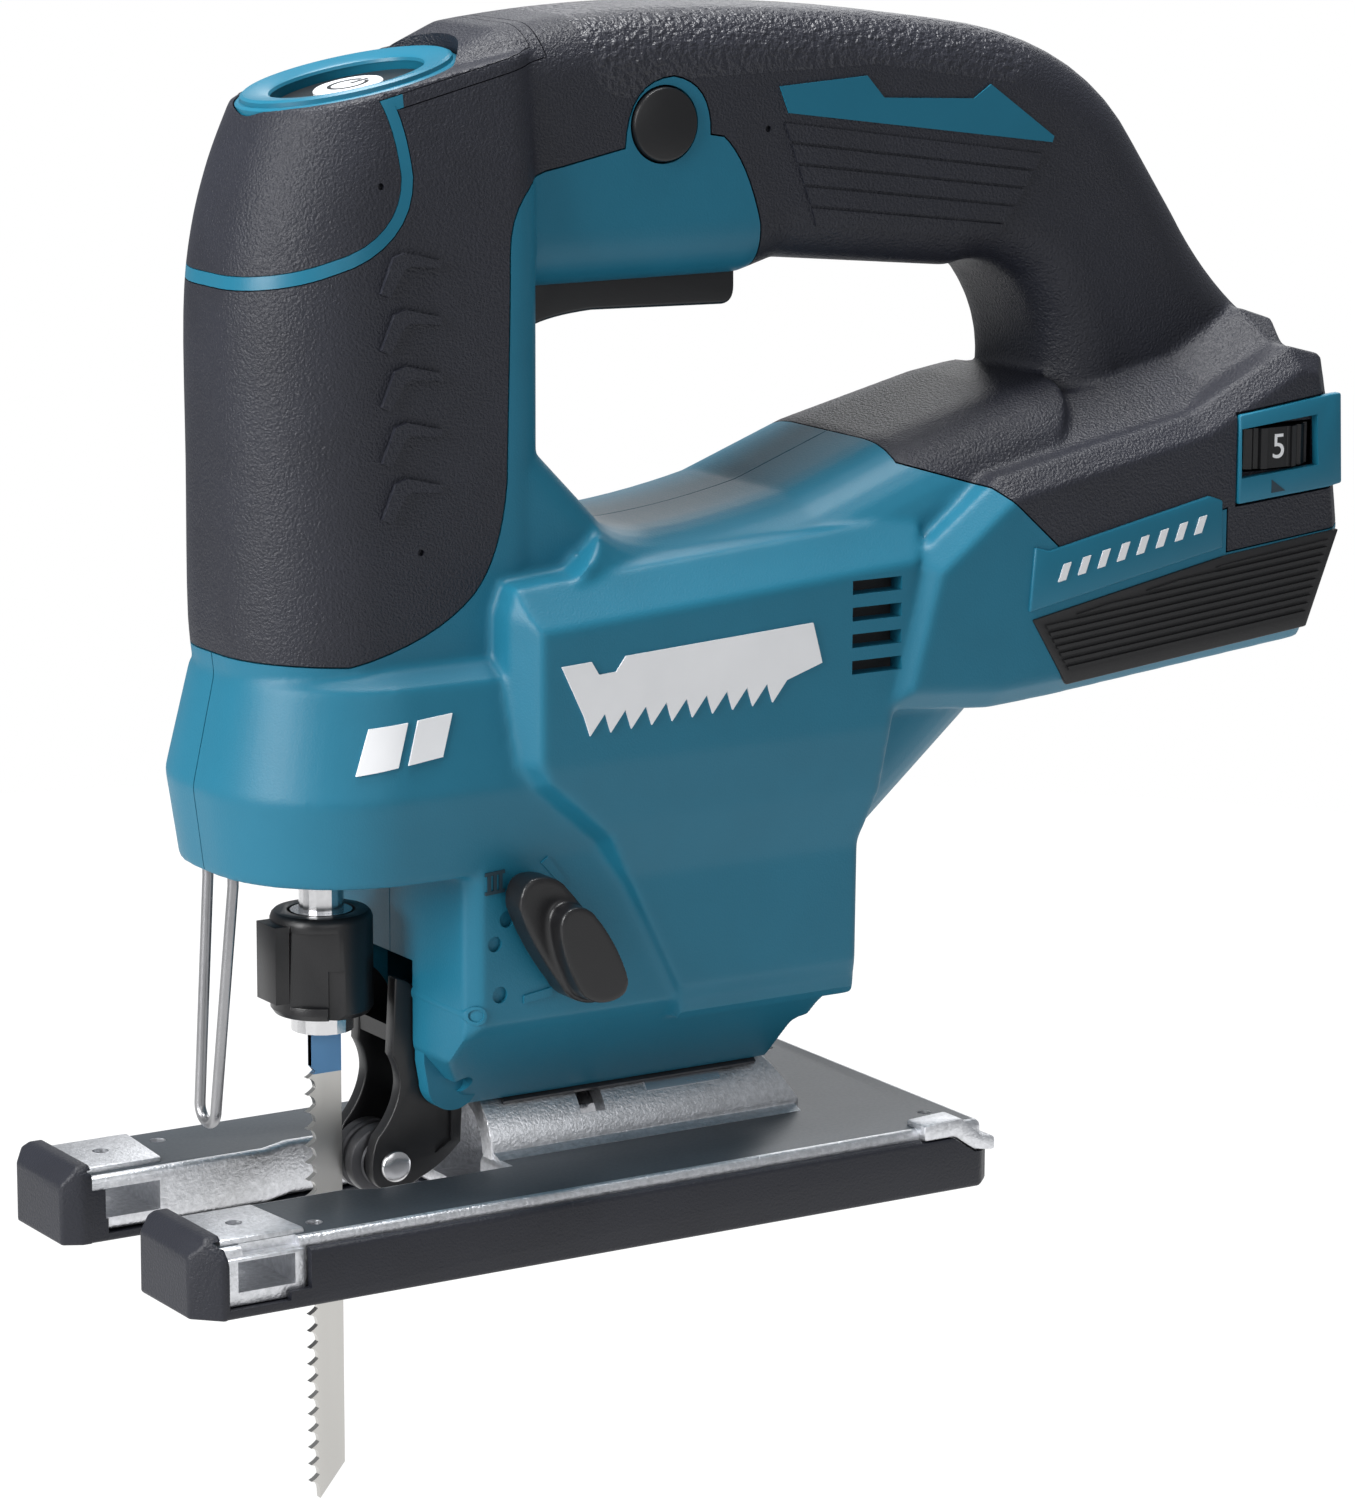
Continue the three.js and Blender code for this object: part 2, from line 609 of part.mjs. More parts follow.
const bladeCut = box(
  BLADE.front - 0.4, BLADE.back + 0.4, -BLADE.thick / 2 - GAP, BLADE.thick / 2 + GAP, 30, BLADE.top + 0.4,
);
const clampCore = () => cut(
  rod('z', 5.6, 37.7, 59.5, ROD.x, 0),
  rod('z', ROD.r + 0.05, 50, 70, ROD.x, 0),
  bladeCut,
);
const clampSleeve = () => join(
  ring('z', 9.2, 6, 41, 59.5, ROD.x, 0),
  box(ROD.x - 11, ROD.x - 7, -3.6, 3.6, 44, 58),
);
function blade() {
  const points = [[BLADE.back, BLADE.top], [BLADE.back, -44], [BLADE.front + 1.4, BLADE.tip]];
  for (let z = BLADE.tip + 2; z < 27; z += BLADE.pitch) {
    points.push([BLADE.front, z]);
    points.push([BLADE.front + 1.5, z + BLADE.pitch * 0.45]);
  }
  points.push([BLADE.front + 0.6, 31], [BLADE.front + 0.6, BLADE.top]);
  return prism('y', points, -BLADE.thick / 2, BLADE.thick / 2);
}

// ---------------------------------------------------------------- roller, lever and guard

const forkPin = () => rod('y', 1.6, -EAR.outer + 0.2, EAR.outer - 0.2, FORK_PIVOT.x, FORK_PIVOT.z, 16);
function rollerFork() {
  const cheek = (low, high) => prism('y', [
    [-27.2, 47], [-23.2, 44.6], [-20.6, 38], [-22, 32.5], [-18, 31.6, -20.6, 31.8],
    [-13.4, 27.6, -13.4, 31.6], [-14, 15], [-22.5, 9.4, -18, 11], [-27.7, 8, -24.6, 8],
    [-32.2, 12.5, -32.2, 8], [-31, 18, -32.2, 15.6], [-26.4, 27, -27, 22], [-28, 33, -26.2, 30],
  ], low, high);
  return cut(
    join(
      cheek(-7.8, -4.9), cheek(4.9, 7.8),
      box(-20.6, -15.4, -6, 6, 14.6, 21), box(-27.6, -24, -6, 6, 35, 38),
    ),
    rod('y', 1.9, -20, 20, FORK_PIVOT.x, FORK_PIVOT.z),
    rod('y', 2.1, -20, 20, ROLLER.x, ROLLER.z),
  );
}
const rollerPin = () => join(
  rod('y', 1.9, -9, 8.6, ROLLER.x, ROLLER.z, 16),
  rod('y', 3.2, -9, -8, ROLLER.x, ROLLER.z, 20),
);
function guideRoller() {
  const profile = [
    [2.05, -4.2], [4.6, -4.2], [ROLLER.r, -3.4], [ROLLER.r, -1.1], [ROLLER.r - 0.9, -0.9],
    [ROLLER.r - 0.9, 0.9], [ROLLER.r, 1.1], [ROLLER.r, 3.4], [4.6, 4.2], [2.05, 4.2], [2.05, -4.2],
  ].map(([r, y]) => new THREE.Vector2(r, y));
  const geometry = new THREE.LatheGeometry(profile, 20);
  geometry.translate(ROLLER.x, 0, ROLLER.z);
  return solid(geometry);
}

// The orbital lever: a teardrop knob that points up and forward at its strongest setting.
const leverKnob = () => join(
  prism('y', [
    [-18.2, 64.5], [-15, 69.6, -18, 69.2], [-9.5, 68, -11.6, 69.8], [1.6, 51.4, -2, 60],
    [-3.4, 45.6, 2.6, 46], [-9.8, 49.5, -8, 46], [-18.2, 64.5, -15.6, 57],
  ], -36.6, -30.5),
  prism('y', [
    [-14.2, 61.4], [-10.6, 65.2, -14, 65], [-5.2, 62.2, -7, 64.6], [1, 51, -1, 57],
    [-3.6, 46.6, 2, 46.8], [-9, 50, -7.6, 47], [-14.2, 61.4, -12.4, 56],
  ], -41, -36.4),
);
const leverSpindle = () => rod('y', 2.9, -30.2, -25.6, LEVER.x, LEVER.z);
function wireGuard() {
  const path = new THREE.CurvePath();
  const v = (x, y, z) => new THREE.Vector3(x, y, z);
  const low = GUARD.low;
  const wide = GUARD.y + 0.3;
  path.add(new THREE.LineCurve3(v(GUARD.x, -GUARD.y, GUARD.top), v(GUARD.x, -wide, low + 3)));
  path.add(new THREE.CubicBezierCurve3(
    v(GUARD.x, -wide, low + 3), v(GUARD.x, -wide, low - 2),
    v(GUARD.x, wide, low - 2), v(GUARD.x, wide, low + 3),
  ));
  path.add(new THREE.LineCurve3(v(GUARD.x, wide, low + 3), v(GUARD.x, GUARD.y, GUARD.top)));
  const section = new THREE.Shape();
  section.absarc(0, 0, GUARD.wire, 0, Math.PI * 2);
  return solid(new THREE.ExtrudeGeometry(section, {
    steps: 20, extrudePath: path, bevelEnabled: false, curveSegments: 3,
  }));
}

// ---------------------------------------------------------------- trigger, switch and lock

const trigger = () => prism('y', [
  [0, 161.6], [13, 163.9, 4, 163.4], [40.3, 163.2], [42.8, 166.4, 42.8, 163.4], [42.8, 170],
  [36, 173.5], [6, 173.5], [0, 171],
], -9, 9);
const switchBody = () => box(8, 38, -10.5, 10.5, 187, 202).subtract(
  rod('y', LOCK.r + 0.7, -20, 20, LOCK.x, LOCK.z),
);
const switchStem = () => box(18, 26, -3, 3, 180.6, 186.6);
const lockButton = () => rod('y', LOCK.r, -HANDLE_HALF - 0.7, HANDLE_HALF + 0.7, LOCK.x, LOCK.z, 32);
const controlBoard = () => box(-36, -33.6, -11.5, 11.5, 154, 194);

// ---------------------------------------------------------------- base

const hornInner = BASE.slotHalf;
const fenceSlot = box(FENCE.front, FENCE.rear, -60, 60, FENCE.low, FENCE.high);
function basePlate() {
  const plan = [
    [-80, -36.4], [80.6, -36.4], [80.6, 36.4], [-80, 36.4], [-80, hornInner], [-42, hornInner],
    [-36, 16.8], [-10.5, 16.8], [-10.5, -16.8], [-36, -16.8], [-42, -hornInner], [-80, -hornInner],
  ];
  const plate = prism('z', plan, 1.9, BASE.plateTop);
  const horns = [-1, 1].map((side) => prism('z', [
    [-80, side * hornInner], [-45, side * hornInner], [-39, side * (hornInner + 4)],
    [-39, side * 36.4], [-80, side * 36.4],
  ], 10, BASE.hornTop));
  const ringAt = (r) => rod('x', r, BARREL.front, BARREL.rearLow, 0, BARREL.axisZ, 48);
  const barrel = ringAt(BARREL.outer).intersect(prism('y', [
    [BARREL.front, 10], [BARREL.rearLow, 10], [BARREL.rearLow, 14], [BARREL.rearHigh, 25],
    [BARREL.front, 25],
  ], -20, 20));
  const inside = join(
    rod('x', BARREL.inner, BARREL.front - 1, 44, 0, BARREL.axisZ, 48),
    box(BARREL.front - 1, 44, -BARREL.inner - 0.2, BARREL.inner + 0.2, 5, BARREL.axisZ),
    box(6, 44, -8, 8, -1, 6),
  );
  const reach = 24;
  const wedge = 62 * Math.PI / 180;
  const arcSlot = prism('x', [
    [0, BARREL.axisZ], [reach * Math.sin(wedge), BARREL.axisZ + reach * Math.cos(wedge)], [0, 60],
    [-reach * Math.sin(wedge), BARREL.axisZ + reach * Math.cos(wedge)],
  ], BOLT.x - SLIDE - BOLT.slot, BOLT.x + BOLT.slot);
  return cut(join(plate, ...horns, barrel), inside, arcSlot, fenceSlot);
}

const TIP_REAR = -76.8;   // back edge of the cover's raised caps on the two horns
function baseCover() {
  const plan = [
    [BASE.front, -34], [-78, -BASE.half], [79, -BASE.half], [BASE.rear, -35], [BASE.rear, 35],
    [79, BASE.half], [-78, BASE.half], [BASE.front, 34], [BASE.front, hornInner + 1.5],
    [-79, hornInner - 0.4],
    [-30, hornInner - 0.4], [-26, 16.2], [-10.5, 16.2], [-10.5, -16.2], [-26, -16.2],
    [-30, -hornInner + 0.4], [-79, -hornInner + 0.4], [BASE.front, -hornInner - 1.5],
  ];
  const pan = prism('z', plan, 0, 11);
  const tips = [-1, 1].map((side) => prism('z', [
    [BASE.front, side * 34], [-78, side * BASE.half], [TIP_REAR, side * BASE.half],
    [TIP_REAR, side * (hornInner - 0.4)], [-79, side * (hornInner - 0.4)],
    [BASE.front, side * (hornInner + 1.5)],
  ], 0, 14.4).intersect(prism('y', [
    [-84, 0], [-68, 0], [-68, 14.4], [-78, 14.4], [-84, 9],
  ], -60, 60)));
  const fenceGaps = [-1, 1].map((side) => box(
    TIP_REAR, -61, Math.min(side * 36.7, side * 60), Math.max(side * 36.7, side * 60), 3, 30,
  ));
  const pocket = join(
    prism('z', [
      [-80.3, -36.7], [80.9, -36.7], [80.9, 36.7], [-80.3, 36.7], [-80.3, hornInner - 0.3],
      [-30, hornInner - 0.3], [-26, 16.3], [-10.8, 16.3], [-10.8, -16.3], [-26, -16.3],
      [-30, -hornInner + 0.3], [-80.3, -hornInner + 0.3],
    ], 1.6, BASE.hornTop + GAP),
    box(-74, -10, -16.4, 16.4, 1.6, 30),
  );
  return cut(join(pan, ...tips), pocket, fenceSlot, ...fenceGaps, box(6, 44, -8, 8, -1, 6));
}

const rearClip = (side) => {
  const low = Math.min(side * 33, side * 36.2);
  return box(70, 80.4, low, low + 3.2, BASE.plateTop + GAP, BASE.plateTop + 1.4);
};

function bevelSaddle() {
  const wide = 46 * Math.PI / 180;
  const wedge = prism('x', [
    [0, BARREL.axisZ], [30 * Math.sin(wide), BARREL.axisZ + 30 * Math.cos(wide)],
    [-30 * Math.sin(wide), BARREL.axisZ + 30 * Math.cos(wide)],
  ], -6, 48);
  return cut(
    ring('x', 13.2, 12.3, -6, 48, 0, BARREL.axisZ, 64).intersect(wedge),
    box(BOLT.x - SLIDE - BOLT.slot, BOLT.x + BOLT.slot, -BOLT.slot, BOLT.slot, 15, 40),
  );
}

const retainer = () => cut(
  prism('x', [
    [-6, 15.6], [6, 15.6], [6.2, 17.6], [3.2, 20, 5, 19], [-3.2, 20, 0, 20.8], [-6.2, 17.6, -5, 19],
  ], 4, 20),
  rod('z', BOLT.slot, 10, 30, BOLT.x, 0),
);
const baseBolt = () => cut(
  join(rod('z', BOLT.r, 14, 33, BOLT.x, 0), rod('z', 4.2, 11.2, 15.3, BOLT.x, 0)),
  rod('z', 2, 10, 13.4, BOLT.x, 0, 6),
);
const boltPlate = () => cut(box(5, 19, -7, 7, 27.4, 32.4), rod('z', BOLT.slot, 20, 40, BOLT.x, 0));

// ---------------------------------------------------------------- housing screws

const screwSpots = [[-36, 88], [14, 50], [46, 52], [88, 112]];
const screwHeadR = 3;
function rightSurface(x, z) {
  const probe = rod('y', screwHeadR, 5, 60, x, z, 12).intersect(outer);
  return probe.boundingBox().max[1];
}
const screwPockets = screwSpots.map(([x, z]) => rod(
  'y', screwHeadR + GAP, rightSurface(x, z) - 4.5, 60, x, z, 16,
));
const screws = screwSpots.map(([x, z]) => {
  const y = rightSurface(x, z);
  return cut(rod('y', screwHeadR, y - 4, y - 2, x, z, 12), rod('y', 1.4, y - 3, y, x, z, 6));
});

// ---------------------------------------------------------------- assembly

const jigsaw = new THREE.Group();

function add(name, body, material) {
  const mesh = new THREE.Mesh(geometryOf(body), material());
  mesh.name = name;
  jigsaw.add(mesh);
}

// Keeps the main body of a cut shape, without the slivers and near-flat edges that cutting leaves.
function largest(body) {
  const main = body.decompose().sort((a, b) => b.volume() - a.volume())[0];
  return main.setTolerance(0.1).simplify(0.1);
}

const mirror = (body) => body.mirror([0, 1, 0]);
add('housing_left', largest(cut(plainShell, dialWell, bezelPocket, leverHole)), teal);
add('housing_right', largest(cut(mirror(plainShell), ...screwPockets)), teal);
add('grip_cover_left', largest(cut(plainRubber, dialWell, bezelPocket)), rubber);
add('grip_cover_right', largest(cut(mirror(plainRubber), ...screwPockets)), rubber);
add('crown_cap', largest(crownCap()), rubber);
add('button_bezel', buttonBezel(), teal);
add('button_panel', buttonPanel(), black);
add('power_button', powerButton(), black);
add('speed_bezel', speedBezel(), teal);
add('speed_dial', speedDial(), black);
for (const [name, side] of [['left', -1], ['right', 1]]) {
  add(`badge_${name}`, sidePlate(badgeOutline, side, 0.7), teal);
  add(`ribbed_panel_${name}`, sidePlate(ribbedOutline, side, 0.9), black);
}
add('battery_rail', batteryRail(), black);
add('terminal_block', terminalBlock(), black);
add('contact_left', contactBlade(-1), copper);
add('contact_right', contactBlade(1), copper);

add('stator', stator(), darkSteel);
add('rotor_shaft', rotorShaft(), steel);
add('rotor_core', rotorCore(), darkSteel);
add('motor_pinion', pinion(), steel);
add('cooling_fan', fan(), black);
add('front_bearing', frontBearing(), steel);
add('rear_bearing', rearBearing(), steel);
add('rear_bearing_bracket', rearBracket(), black);
add('gear_case', gearCase(), castAluminium);
add('crank_bearing', crankBearing(), steel);
add('crank_gear', crankGear(), steel);
add('crank_roller', crankRoller(), steel);

add('plunger_guide', plungerGuide(), castAluminium);
add('dust_seal', dustSeal(), black);
add('plunger_rod', largest(plungerRod()), steel);
add('yoke', yoke(), steel);
add('clamp_core', clampCore(), steel);
add('clamp_sleeve', clampSleeve(), black);
add('blade', blade(), steel);

add('fork_pin', forkPin(), steel);
add('roller_fork', rollerFork(), black);
add('roller_pin', rollerPin(), steel);
add('guide_roller', guideRoller(), steel);
add('orbital_lever', leverKnob(), black);
add('lever_spindle', leverSpindle(), steel);
add('wire_guard', wireGuard(), steel);

add('trigger', trigger(), black);
add('switch_body', switchBody(), black);
add('switch_stem', switchStem(), black);
add('lock_button', lockButton(), black);
add('control_board', controlBoard(), board);

add('base_plate', largest(basePlate()), castAluminium);
add('base_cover', largest(baseCover()), black);
add('base_clip_left', rearClip(-1), steel);
add('bevel_saddle', bevelSaddle(), darkSteel);
add('base_retainer', retainer(), steel);
add('base_bolt', baseBolt(), steel);
add('bolt_plate', boltPlate(), steel);
screws.forEach((screw, i) => add(`housing_screw_${i + 1}`, screw, darkSteel));

export default jigsaw;
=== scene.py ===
"""A cordless D-handle jigsaw.

Shapes are worked out in millimetres and scaled to metres when each piece is finished.
"""

import math

import bmesh
import bpy
from mathutils import Matrix, Vector


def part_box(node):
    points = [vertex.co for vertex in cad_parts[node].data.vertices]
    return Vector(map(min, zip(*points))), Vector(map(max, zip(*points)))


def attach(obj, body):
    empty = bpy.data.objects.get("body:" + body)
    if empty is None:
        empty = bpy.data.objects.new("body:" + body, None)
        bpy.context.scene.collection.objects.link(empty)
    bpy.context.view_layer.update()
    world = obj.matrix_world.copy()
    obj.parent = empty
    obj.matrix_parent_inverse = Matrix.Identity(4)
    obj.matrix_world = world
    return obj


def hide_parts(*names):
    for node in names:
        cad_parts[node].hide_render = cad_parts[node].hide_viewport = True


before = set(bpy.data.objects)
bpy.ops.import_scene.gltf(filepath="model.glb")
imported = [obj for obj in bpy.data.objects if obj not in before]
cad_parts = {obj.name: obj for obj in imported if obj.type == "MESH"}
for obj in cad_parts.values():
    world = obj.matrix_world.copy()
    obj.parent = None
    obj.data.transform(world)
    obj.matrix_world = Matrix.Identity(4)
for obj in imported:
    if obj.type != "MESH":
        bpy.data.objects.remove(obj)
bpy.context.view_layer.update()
scene = bpy.context.scene

# ---------------------------------------------------------------- camera, lights and floor

CAMERA_PLACE = (-0.4855, -0.83614, 0.28878)
CAMERA_AZIMUTH = math.radians(-31.98)
CAMERA_ELEVATION = math.radians(11.95)
CAMERA_ROLL = math.radians(0.2)
CAMERA_LENS = 131.6
LIT_POINT = (0.03, 0, 0.09)
SKY = (0.93, 0.96, 1, 1)


def aim(obj, target):
    direction = Vector(target) - obj.location
    obj.rotation_euler = direction.to_track_quat("-Z", "Y").to_euler()


def make_camera():
    data = bpy.data.cameras.new("camera")
    data.lens = CAMERA_LENS
    data.sensor_width = 36
    data.sensor_fit = "AUTO"
    data.clip_start = 0.01
    data.clip_end = 50
    camera = bpy.data.objects.new("camera", data)
    scene.collection.objects.link(camera)
    back = Vector((
        math.sin(CAMERA_AZIMUTH) * math.cos(CAMERA_ELEVATION),
        -math.cos(CAMERA_AZIMUTH) * math.cos(CAMERA_ELEVATION),
        math.sin(CAMERA_ELEVATION),
    ))
    turn = (-back).to_track_quat("-Z", "Y").to_matrix().to_4x4()
    camera.matrix_world = Matrix.Translation(CAMERA_PLACE) @ turn @ Matrix.Rotation(CAMERA_ROLL, 4, "Z")
    scene.camera = camera


def area_light(name, place, size, watts):
    data = bpy.data.lights.new(name, "AREA")
    data.shape = "RECTANGLE"
    data.size, data.size_y = size
    data.energy = watts
    light = bpy.data.objects.new(name, data)
    scene.collection.objects.link(light)
    light.location = place
    aim(light, LIT_POINT)


def backdrop_shader(tree, colour, strength):
    background = tree.nodes.new("ShaderNodeBackground")
    background.inputs["Color"].default_value = colour
    background.inputs["Strength"].default_value = strength
    return background.outputs["Background"]


def mix_shaders(tree, factor, otherwise, chosen):
    mix = tree.nodes.new("ShaderNodeMixShader")
    tree.links.new(factor, mix.inputs["Fac"])
    tree.links.new(otherwise, mix.inputs[1])
    tree.links.new(chosen, mix.inputs[2])
    return mix.outputs["Shader"]


def make_studio():
    """A white backdrop for the camera, a dim sky with brighter reflections, and four lights."""
    scene.view_settings.view_transform = "Standard"
    scene.view_settings.look = "None"
    world = bpy.data.worlds.new("studio")
    scene.world = world
    world.use_nodes = True
    tree = world.node_tree
    tree.nodes.remove(tree.nodes["Background"])
    rays = tree.nodes.new("ShaderNodeLightPath").outputs
    soft = backdrop_shader(tree, SKY, 0.15)
    shine = backdrop_shader(tree, SKY, 0.33)
    white = backdrop_shader(tree, (1, 1, 1, 1), 1.0)
    around = mix_shaders(tree, rays["Is Glossy Ray"], soft, shine)
    seen = mix_shaders(tree, rays["Is Camera Ray"], around, white)
    tree.links.new(seen, tree.nodes["World Output"].inputs["Surface"])
    area_light("key", (-0.95, -0.12, 0.5), (0.5, 0.8), 15)
    area_light("side", (-0.2, -1.2, 0.5), (1.1, 0.6), 3)
    area_light("top", (0.05, 0.05, 1.0), (0.5, 0.3), 13)
    area_light("back", (0.8, 0.9, 0.6), (0.6, 0.6), 2.5)


# ---------------------------------------------------------------- shape tools (millimetres)

def mesh_object(name, vertices, faces):
    mesh = bpy.data.meshes.new(name)
    mesh.from_pydata([tuple(v) for v in vertices], [], faces)
    obj = bpy.data.objects.new(name, mesh)
    scene.collection.objects.link(obj)
    face_outward(obj)
    return obj


def face_outward(obj):
    bm = bmesh.new()
    bm.from_mesh(obj.data)
    bmesh.ops.recalc_face_normals(bm, faces=bm.faces)
    bm.to_mesh(obj.data)
    bm.free()


def bake(obj):
    """Turns the object's modifiers into its mesh."""
    depsgraph = bpy.context.evaluated_depsgraph_get()
    mesh = bpy.data.meshes.new_from_object(obj.evaluated_get(depsgraph))
    old = obj.data
    obj.modifiers.clear()
    obj.data = mesh
    bpy.data.meshes.remove(old)
    return obj


def boolean(obj, tool, operation):
    """Applies a solid to another and uses it up."""
    modifier = obj.modifiers.new("boolean", "BOOLEAN")
    modifier.operation = operation
    modifier.solver = "MANIFOLD"
    modifier.object = tool
    bake(obj)
    bpy.data.objects.remove(tool)
    return obj


def join(first, *others):
    for other in others:
        boolean(first, other, "UNION")
    return first


def cut(first, *tools):
    for tool in tools:
        boolean(first, tool, "DIFFERENCE")
    return first


def meet(first, *tools):
    for tool in tools:
        boolean(first, tool, "INTERSECT")
    return first


def copy_of(obj):
    other = obj.copy()
    other.data = obj.data.copy()
    scene.collection.objects.link(other)
    return other


def soften(obj, width, segments=2, angle=28):
    modifier = obj.modifiers.new("bevel", "BEVEL")
    modifier.width = width
    modifier.segments = segments
    modifier.limit_method = "ANGLE"
    modifier.angle_limit = math.radians(angle)
    modifier.use_clamp_overlap = True
    modifier.harden_normals = False
    return bake(obj)


def curve_points(points, steps=8):
    """Corners are (u, v); (u, v, cu, cv) reaches (u, v) by a curve bent towards (cu, cv)."""
    out = []
    for point in points:
        if len(point) == 2:
            out.append(Vector(point))
            continue
        start, end, bend = out[-1].copy(), Vector(point[:2]), Vector(point[2:])
        for i in range(1, steps + 1):
            t = i / steps
            out.append(start * (1 - t) ** 2 + bend * 2 * t * (1 - t) + end * t * t)
    if (out[0] - out[-1]).length < 1e-6:
        out.pop()
    area = sum(a.x * b.y - b.x * a.y for a, b in zip(out, out[1:] + out[:1]))
    return out if area > 0 else out[::-1]


def shrink(corners, distance):
    """Moves each corner of a counter-clockwise outline towards its inside."""
    moved = []
    count = len(corners)
    for i, point in enumerate(corners):
        into = (point - corners[i - 1]).normalized()
        out = (corners[(i + 1) % count] - point).normalized()
        normal = Vector((-into.y - out.y, into.x + out.x)).normalized()
        miter = min(1 / max(normal.dot(Vector((-into.y, into.x))), 0.5), 2)
        moved.append(point + normal * distance * miter)
    return moved


def skin(name, rings):
    """Closes a stack of rings with equal counts of points."""
    count = len(rings[0])
    vertices = [v for ring in rings for v in ring]
    faces = []
    for level in range(len(rings) - 1):
        for i in range(count):
            j = (i + 1) % count
            a, b = level * count, (level + 1) * count
            faces.append((a + i, a + j, b + j, b + i))
    last = (len(rings) - 1) * count
    faces.append(tuple(reversed(range(count))))
    faces.append(tuple(range(last, last + count)))
    return mesh_object(name, vertices, faces)


def on_axis(axis, u, v, w):
    return {"x": (w, u, v), "y": (u, w, v), "z": (u, v, w)}[axis]


def prism(axis, points, low, high, steps=8, grow=0.0, name="prism"):
    corners = shrink(curve_points(points, steps), -grow)
    return skin(name, [[on_axis(axis, c.x, c.y, w) for c in corners] for w in (low, high)])


def pillow(points, half, edge, depth, steps, inset=0.0):
    """A side-view outline with rounded edges, as wide as half on each side of the middle plane."""
    corners = curve_points(points)
    near = []
    for i in range(steps + 1):
        a = i / steps * math.pi / 2
        near.append((-(half - inset) + depth * (1 - math.cos(a)), edge * (1 - math.sin(a))))
    rings = near + [(-y, e) for y, e in reversed(near)]
    return skin("pillow", [[(c.x, y, c.y) for c in shrink(corners, e + inset)] for y, e in rings])


def box(x0, x1, y0, y1, z0, z1):
    return prism("z", [(x0, y0), (x1, y0), (x1, y1), (x0, y1)], z0, z1)


def mirrored_box(side, x0, x1, y_in, y_out, z0, z1):
    """A box on one side of the tool: -1 is its left."""
    low, high = sorted((side * y_in, side * y_out))
    return box(x0, x1, low, high, z0, z1)


def side_prism(side, points, y_in, y_out):
    """A side-view outline given depth on one side of the tool."""
    low, high = sorted((side * y_in, side * y_out))
    return prism("y", points, low, high)


def circle(a, b, r, sides):
    turn = 2 * math.pi / sides
    return [(a + r * math.cos(i * turn), b + r * math.sin(i * turn)) for i in range(sides)]


def rod(axis, r, low, high, a, b, sides=48):
    return prism(axis, circle(a, b, r, sides), low, high)


def lathe(axis, profile, a, b, sides=64):
    """Turns (radius, height) pairs about an axis, with a flat end at the first and the last."""
    rings = [[on_axis(axis, u, v, w) for u, v in circle(a, b, r, sides)] for r, w in profile]
    return skin("lathe", rings)


def ring(axis, outer_r, inner_r, low, high, a, b, sides):
    outside = rod(axis, outer_r, low, high, a, b, sides)
    return cut(outside, rod(axis, inner_r, low - 1, high + 1, a, b, sides))


def smooth_between(rings, steps):
    """Adds rings on a smooth curve through the given ones."""
    out = []
    for i in range(len(rings) - 1):
        before, start = rings[max(i - 1, 0)], rings[i]
        end, after = rings[i + 1], rings[min(i + 2, len(rings) - 1)]
        for k in range(steps):
            t = k / steps
            row = []
            for p, q, r, s in zip(before, start, end, after):
                p, q, r, s = map(Vector, (p, q, r, s))
                row.append(0.5 * (2 * q + (r - p) * t + (2 * p - 5 * q + 4 * r - s) * t ** 2
                                  + (3 * q - p - 3 * r + s) * t ** 3))
            out.append(row)
    return out + [[Vector(p) for p in rings[-1]]]


def nose_ring(front, rear, half, nose_x, nose_y, rear_r, height, nose_steps=18, rear_steps=6):
    """A plan-view section with a round nose; its height may lean with x."""
    points = []
    for i in range(nose_steps + 1):
        a = i / nose_steps * math.pi / 2
        points.append((front + nose_x * (1 - math.cos(a)), -(half - nose_y) - nose_y * math.sin(a)))
    for i in range(rear_steps + 1):
        a = i / rear_steps * math.pi / 2
        points.append((rear - rear_r * (1 - math.sin(a)), -half + rear_r * (1 - math.cos(a))))
    points += [(x, -y) for x, y in reversed(points)]
    if abs(points[0][1]) < 1e-6:
        points = points[1:]
    return [(x, y, height(x)) for x, y in points]


def tube(path, r, sides):
    """A round wire along a path."""
    rings = []
    up = Vector((0, 1, 0))
    for i, point in enumerate(path):
        before, after = path[max(i - 1, 0)], path[min(i + 1, len(path) - 1)]
        along = (Vector(after) - Vector(before)).normalized()
        side = along.cross(up)
        if side.length < 1e-3:
            side = along.cross(Vector((1, 0, 0)))
        side.normalize()
        other = along.cross(side).normalized()
        up = -other if other.dot(up) < 0 else other
        side = up.cross(along).normalized()
        rings.append([
            Vector(point) + (side * math.cos(t) + up * math.sin(t)) * r
            for t in (2 * math.pi * k / sides for k in range(sides))
        ])
    return skin("tube", rings)


# ---------------------------------------------------------------- materials

ROUGHNESS_SPREAD = 0.06


def new_material(name):
    material = bpy.data.materials.new(name)
    material.use_nodes = True
    return material, material.node_tree, material.node_tree.nodes["Principled BSDF"]


def noise(tree, scale, detail, roughness, stretch):
    nodes, links = tree.nodes, tree.links
    place = nodes.new("ShaderNodeTexCoord")
    mapping = nodes.new("ShaderNodeMapping")
    mapping.inputs["Scale"].default_value = stretch
    links.new(place.outputs["Object"], mapping.inputs["Vector"])
    texture = nodes.new("ShaderNodeTexNoise")
    texture.inputs["Scale"].default_value = scale
    texture.inputs["Detail"].default_value = detail
    texture.inputs["Roughness"].default_value = roughness
    links.new(mapping.outputs["Vector"], texture.inputs["Vector"])
    return texture.outputs["Fac"]


